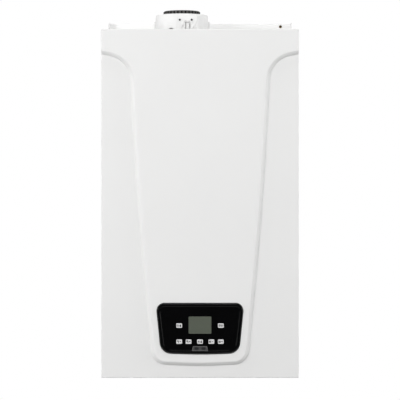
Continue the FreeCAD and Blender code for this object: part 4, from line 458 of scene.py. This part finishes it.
def make_key(node, pair):
    """A key on its stem, with a rolled edge and a shallow dish, and two signs printed in the dish."""
    low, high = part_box(node)
    x, z, front = (low.x + high.x) / 2, (low.z + high.z) / 2, low.y
    width, height = high.x - low.x - 2 * KEY_RIM, high.z - low.z - 2 * KEY_RIM
    seat = front + KEY_DEPTH
    steps = [(KEY_RIM, seat + KEY_RIM_SHEET), (KEY_RIM, seat + KEY_PLAY), (0, seat + KEY_PLAY)]
    for turn in (0, math.pi / 6, math.pi / 3, math.pi / 2):
        steps.append((KEY_EDGE * (math.cos(turn) - 1), front + KEY_EDGE * (1 - math.sin(turn))))
    steps.append((-2 * KEY_EDGE, front + KEY_DISH))
    stem = rounded_rectangle(2 * KEY_STEM, 2 * KEY_STEM, KEY_STEM_CORNER)
    rings = [upright(stem, x, y, z) for y in (high.y, seat + KEY_RIM_SHEET)]
    for grow, y in steps:
        ring = rounded_rectangle(width + 2 * grow, height + 2 * grow, KEY_CORNER + grow)
        rings.append(upright(ring, x, y, z))
    cap = bmesh.new()
    loft(cap, rings)
    add_piece(f"{node}_cap", cap, "button_grey", node, [node])
    ink = bmesh.new()
    face = front + KEY_DISH
    for side, sign in zip((-SIGN_OFFSET, SIGN_OFFSET), pair):
        for shape in signs[sign]:
            loft(ink, [upright(shape, x + side, y, z, SIGN_SCALE) for y in (face, face - INK)])
    add_piece(f"{node}_signs", ink, "black_plastic", node, finish=sign_ink)


PORT_BORDER = 0.8 * MM
PORT_SLOPE = 2.2 * MM
PORT_RELIEF = 0.15 * MM
# Finger grips, as shares of the service cover's half width and half height
GRIP_WIDTH, GRIP_OFFSET = 0.5, 0.42
GRIP_HEIGHT, GRIP_CORNER = 1.1, 0.4


def make_port_relief():
    """A raised border and two finger grips on the service cover."""
    low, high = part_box("service_cover")
    x, z, front = (low.x + high.x) / 2, (low.z + high.z) / 2, low.y
    half, rise = (high.x - low.x) / 2, (high.z - low.z) / 2
    outer = [(-half, -rise), (half, -rise), (half - PORT_SLOPE, rise), (PORT_SLOPE - half, rise)]
    inner = [(u - math.copysign(PORT_BORDER, u), v - math.copysign(PORT_BORDER, v)) for u, v in outer]
    border = bmesh.new()
    for i, corner in enumerate(outer):
        j = (i + 1) % len(outer)
        side = [corner, outer[j], inner[j], inner[i]]
        loft(border, [upright(side, x, y, z) for y in (front, front - PORT_RELIEF)])
    add_piece("service_cover_border", border, "grey_plastic", "control_unit", finish=port_trim)
    grips = bmesh.new()
    pad = rounded_rectangle(GRIP_WIDTH * half, GRIP_HEIGHT * rise, GRIP_CORNER * rise)
    for side in (-GRIP_OFFSET, GRIP_OFFSET):
        loft(grips, [upright(pad, x + side * half, y, z) for y in (front, front - PORT_RELIEF)])
    add_piece("service_cover_grips", grips, "black_plastic", "control_unit")


# Screws and gauge


SCREW_SIDES = 48
SCREW_HEAD, SCREW_RISE, SCREW_SHANK, SCREW_LENGTH = 4.5 * MM, 1.8 * MM, 2 * MM, 10 * MM
EARTH_SCREW_SHANK = 0.5 * MM
FLUE_SCREW_CIRCLE = 61 * MM
# The head's outline, as shares of its radius and rise
SCREW_PROFILE = ((1, 0), (1, 0.4), (0.94, 0.75), (0.78, 1))
# The cross recess at its mouth and floor: arm and half width over the head's radius, height over the rise
SCREW_RECESS = ((0.58, 0.15, 1), (0.4, 0.1, 0.35))


def add_screw(builder, place, head=SCREW_HEAD, rise=SCREW_RISE, length=SCREW_LENGTH):
    """A pan-head screw with a cross recess, its head up along the Z of the given place."""
    turns = [math.tau * i / SCREW_SIDES for i in range(SCREW_SIDES)]

    def circle(radius, height):
        return [place @ Vector((radius * math.cos(t), radius * math.sin(t), height)) for t in turns]

    def cross(arm, half, height):
        loop = []
        for t in turns:
            cos, sin = max(abs(math.cos(t)), 1e-6), max(abs(math.sin(t)), 1e-6)
            reach = max(min(arm / cos, half / sin), min(half / cos, arm / sin))
            loop.append(place @ Vector((reach * math.cos(t), reach * math.sin(t), height)))
        return loop

    shank = head * SCREW_SHANK / SCREW_HEAD
    loft(builder, [
        circle(shank, -length),
        circle(shank, 0),
        *(circle(radius * head, height * rise) for radius, height in SCREW_PROFILE),
        *(cross(arm * head, half * head, height * rise) for arm, half, height in SCREW_RECESS),
    ])


def make_screws():
    """Cross-recess screws in place of the plain CAD ones."""
    low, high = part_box("cover_screws")
    screws = bmesh.new()
    for x in (low.x + SCREW_HEAD, high.x - SCREW_HEAD):
        seat = Vector((x, (low.y + high.y) / 2, low.z + SCREW_RISE))
        add_screw(screws, Matrix.Translation(seat) @ Matrix.Rotation(math.pi, 4, "X"))
    add_piece("cover_screws_crossed", screws, "steel", "cover", ["cover_screws"])
    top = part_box("flue_screws")[1].z - SCREW_RISE
    screws = bmesh.new()
    x, y = flue_axis
    for quarter in range(4):
        turn = math.pi / 4 + quarter * math.pi / 2
        seat = Vector((x + FLUE_SCREW_CIRCLE * math.cos(turn), y + FLUE_SCREW_CIRCLE * math.sin(turn), top))
        add_screw(screws, Matrix.Translation(seat) @ Matrix.Rotation(turn, 4, "Z"))
    add_piece("flue_screws_crossed", screws, "steel", "chassis", ["flue_screws"])
    low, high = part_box("earth_screw")
    seat = Vector(((low.x + high.x) / 2, high.y, (low.z + high.z) / 2))
    screws = bmesh.new()
    add_screw(screws, Matrix.Translation(seat) @ Matrix.Rotation(math.pi / 2, 4, "X"),
              (high.x - low.x) / 2, high.y - low.y, EARTH_SCREW_SHANK)
    add_piece("earth_screw_crossed", screws, "yellow_zinc", "chassis", ["earth_screw"])


DIAL_RADIUS, DIAL_HOLE, DIAL_SHEET = 17.7 * MM, 2.6 * MM, 0.25 * MM
NEEDLE_SPACE = 3.4 * MM
NEEDLE_REST, NEEDLE_SWEEP = 150, 240
DIAL_STEPS, STEPS_PER_NUMBER = 20, 5
NUMBER_CIRCLE, NUMBER_SIZE = 10.6 * MM, 4.2 * MM
# Marks of the scale, in millimetres: distance of the middle from the centre, length and width
LONG_MARK = (15.0, 3.2, 0.7)
SHORT_MARK = (15.7, 1.8, 0.35)
# The green band: outer radius and width in millimetres, and the share of the sweep at its ends
GOOD_RADIUS, GOOD_WIDTH = 17.2, 1.0
GOOD_START, GOOD_STOP = 0.25, 0.5


def ceiling(points, centre, level):
    """Flat points in millimetres, laid level about a centre."""
    return [(centre.x + u * MM, centre.y + v * MM, level) for u, v in points]


def add_figure(builder, text, place, size):
    """A number that faces down, upright for someone who stands in front and looks up."""
    curve = bpy.data.curves.new("figure", "FONT")
    curve.body, curve.size, curve.extrude = text, size, INK
    curve.align_x, curve.align_y = "CENTER", "CENTER"
    holder = bpy.data.objects.new("figure", curve)
    mesh = bpy.data.meshes.new_from_object(holder)
    mesh.transform(Matrix.Translation(place) @ Matrix.Rotation(math.pi, 4, "X"))
    builder.from_mesh(mesh)
    bpy.data.objects.remove(holder)
    bpy.data.curves.remove(curve)
    bpy.data.meshes.remove(mesh)


def make_gauge_dial():
    """A white dial with a scale from 0 to 4, seen through the lens under the casing."""
    low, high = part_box("gauge_lens")
    centre = (low + high) / 2
    top = high.z + NEEDLE_SPACE
    face = top - DIAL_SHEET
    plate = bmesh.new()
    band = arc(DIAL_RADIUS / MM, (DIAL_RADIUS - DIAL_HOLE) / MM, 0, 359.9, 72)
    loft(plate, [ceiling(band, centre, level) for level in (top, face)])
    add_piece("gauge_dial", plate, "white_plastic", "chassis")
    scale = bmesh.new()
    for step in range(DIAL_STEPS + 1):
        turn = math.radians(NEEDLE_REST + NEEDLE_SWEEP * step / DIAL_STEPS)
        number, between = divmod(step, STEPS_PER_NUMBER)
        reach, length, width = SHORT_MARK if between else LONG_MARK
        mark = bar(length, width, reach * math.cos(turn), reach * math.sin(turn), turn)
        loft(scale, [ceiling(mark, centre, level) for level in (face, face - INK)])
        if not between:
            out = Vector((math.cos(turn), math.sin(turn), 0)) * NUMBER_CIRCLE
            add_figure(scale, str(number), Vector((centre.x, centre.y, face)) + out, NUMBER_SIZE)
    add_piece("gauge_scale", scale, "black_plastic", "chassis", finish=sign_ink)
    good = bmesh.new()
    start, stop = (NEEDLE_REST + NEEDLE_SWEEP * share for share in (GOOD_START, GOOD_STOP))
    green = arc(GOOD_RADIUS, GOOD_WIDTH, start, stop)
    loft(good, [ceiling(green, centre, level) for level in (face, face - INK / 2)])
    add_piece("gauge_good_range", good, "board_green", "chassis")


# Stage


FLOOR_RADIUS, FLOOR_BELOW = 2.3, 1.25
FLOOR_GREY = (0.35, 0.35, 0.35, 1)
# How white the floor's middle looks, and the distances out at which that begins and ends to turn all white
FLOOR_WHITE = 0.8
FLOOR_FADE = (0.23, 1.38)


def make_floor():
    """A round floor, well below the boiler: it sends little light up, but looks and mirrors white."""
    mesh = bpy.data.meshes.new("floor")
    builder = bmesh.new()
    bmesh.ops.create_circle(builder, cap_ends=True, segments=96, radius=FLOOR_RADIUS)
    builder.to_mesh(mesh)
    builder.free()
    floor = bpy.data.objects.new("floor", mesh)
    floor.location = (0, (cad_low.y + cad_high.y) / 2, cad_low.z - FLOOR_BELOW)
    bpy.context.scene.collection.objects.link(floor)
    surface = Surface("floor").set("Base Color", FLOOR_GREY).set("Roughness", 0.7)
    length = surface.node("VectorMath", operation="LENGTH")
    surface.link(surface.place(), length.inputs[0])
    glow = surface.node("Emission")
    fade = surface.node("MixShader")
    ray = surface.node("LightPath").outputs
    seen = surface.maths("MAXIMUM", ray["Is Camera Ray"], ray["Is Transmission Ray"])
    seen = surface.maths("MAXIMUM", seen, ray["Is Glossy Ray"])
    whiteness = surface.remap(length.outputs["Value"], FLOOR_WHITE, 1, *FLOOR_FADE)
    surface.link(surface.maths("MULTIPLY", whiteness, seen), fade.inputs[0])
    surface.link(surface.shader.outputs[0], fade.inputs[1])
    surface.link(glow.outputs[0], fade.inputs[2])
    surface.link(fade.outputs[0], surface.tree.nodes["Material Output"].inputs["Surface"])
    mesh.materials.append(surface.material)


# Strength of the surroundings before and behind the boiler, as a light and in reflections, and how far
# a direction points to the back where the one begins and ends to turn into the other
AMBIENT, AMBIENT_TURN = (0.15, 0.30), (-0.2, 0.9)
MIRRORED, MIRRORED_TURN = (0.02, 1.0), (-0.15, 0.4)


def make_world():
    """White to the eye, but dim before the boiler, where the camera stands, and bright behind it."""
    world = bpy.data.worlds.new("studio")
    world.use_nodes = True
    sky = Nodes(world.node_tree)
    direction = sky.node("SeparateXYZ")
    sky.link(sky.node("TexCoord").outputs["Generated"], direction.inputs[0])
    ray = sky.node("LightPath").outputs
    ambient = sky.remap(direction.outputs["Y"], *AMBIENT, *AMBIENT_TURN)
    mirrored = sky.remap(direction.outputs["Y"], *MIRRORED, *MIRRORED_TURN)
    lit = sky.choose(ray["Is Glossy Ray"], ambient, mirrored)
    seen = sky.maths("MAXIMUM", ray["Is Camera Ray"], ray["Is Transmission Ray"])
    background = world.node_tree.nodes["Background"]
    background.inputs["Color"].default_value = (1, 1, 1, 1)
    sky.link(sky.choose(seen, lit, 1.0), background.inputs["Strength"])
    bpy.context.scene.world = world


def aim(thing, target):
    direction = Vector(target) - thing.location
    thing.rotation_euler = direction.to_track_quat("-Z", "Y").to_euler()


# Soft boxes: the angle round from the front (left is negative), the angle up, and the watts
SOFT_BOXES = {
    "key": (-30, 5, 42),
    "front": (10, 25, 22.5),
    "left_fill": (-45, 15, 10),
    "left_strip": (-75, 8, 21),
    "right_fill": (40, 10, 14.5),
    "right_strip": (75, 8, 27),
    "top": (0, 80, 24),
    "rear_left": (-115, 25, 4),
    "rear_right": (115, 25, 8),
    "rear": (170, 30, 18),
}
# Flagged off, so that glossy pieces don't mirror them
FLAGGED = {"key", "front", "left_fill", "right_fill"}
SOFT_BOX_SIZE = 1.3
SOFT_BOX_DISTANCE = 3.2


def make_lights():
    middle = (cad_low + cad_high) / 2
    for name, (around, up, power) in SOFT_BOXES.items():
        light = bpy.data.lights.new(name, "AREA")
        light.size = SOFT_BOX_SIZE
        light.energy = power
        lamp = bpy.data.objects.new(name, light)
        lamp.visible_glossy = name not in FLAGGED
        around, up = math.radians(around), math.radians(up)
        way = Vector((math.cos(up) * math.sin(around), -math.cos(up) * math.cos(around), math.sin(up)))
        lamp.location = middle + way * SOFT_BOX_DISTANCE
        bpy.context.scene.collection.objects.link(lamp)
        aim(lamp, middle)


def make_camera():
    low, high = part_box("front_cover")
    camera = bpy.data.cameras.new("camera")
    view = FRAME_PX * MM_PER_PX * MM
    camera.lens = camera.sensor_width * CAMERA_DISTANCE / view
    camera.clip_end = FAR_CLIP
    viewer = bpy.data.objects.new("camera", camera)
    rise = (CASING_CENTRE_PX - FRAME_PX / 2) * MM_PER_PX * MM
    viewer.location = (0, low.y - CAMERA_DISTANCE, (low.z + high.z) / 2 + rise)
    viewer.rotation_euler = (math.pi / 2, 0, 0)
    bpy.context.scene.collection.objects.link(viewer)
    bpy.context.scene.camera = viewer


dress_nodes()
for node, pair in key_signs.items():
    make_key(node, pair)
make_port_relief()
make_screws()
make_gauge_dial()
make_floor()
make_world()
make_lights()
make_camera()
bpy.context.scene.view_settings.view_transform = "Standard"
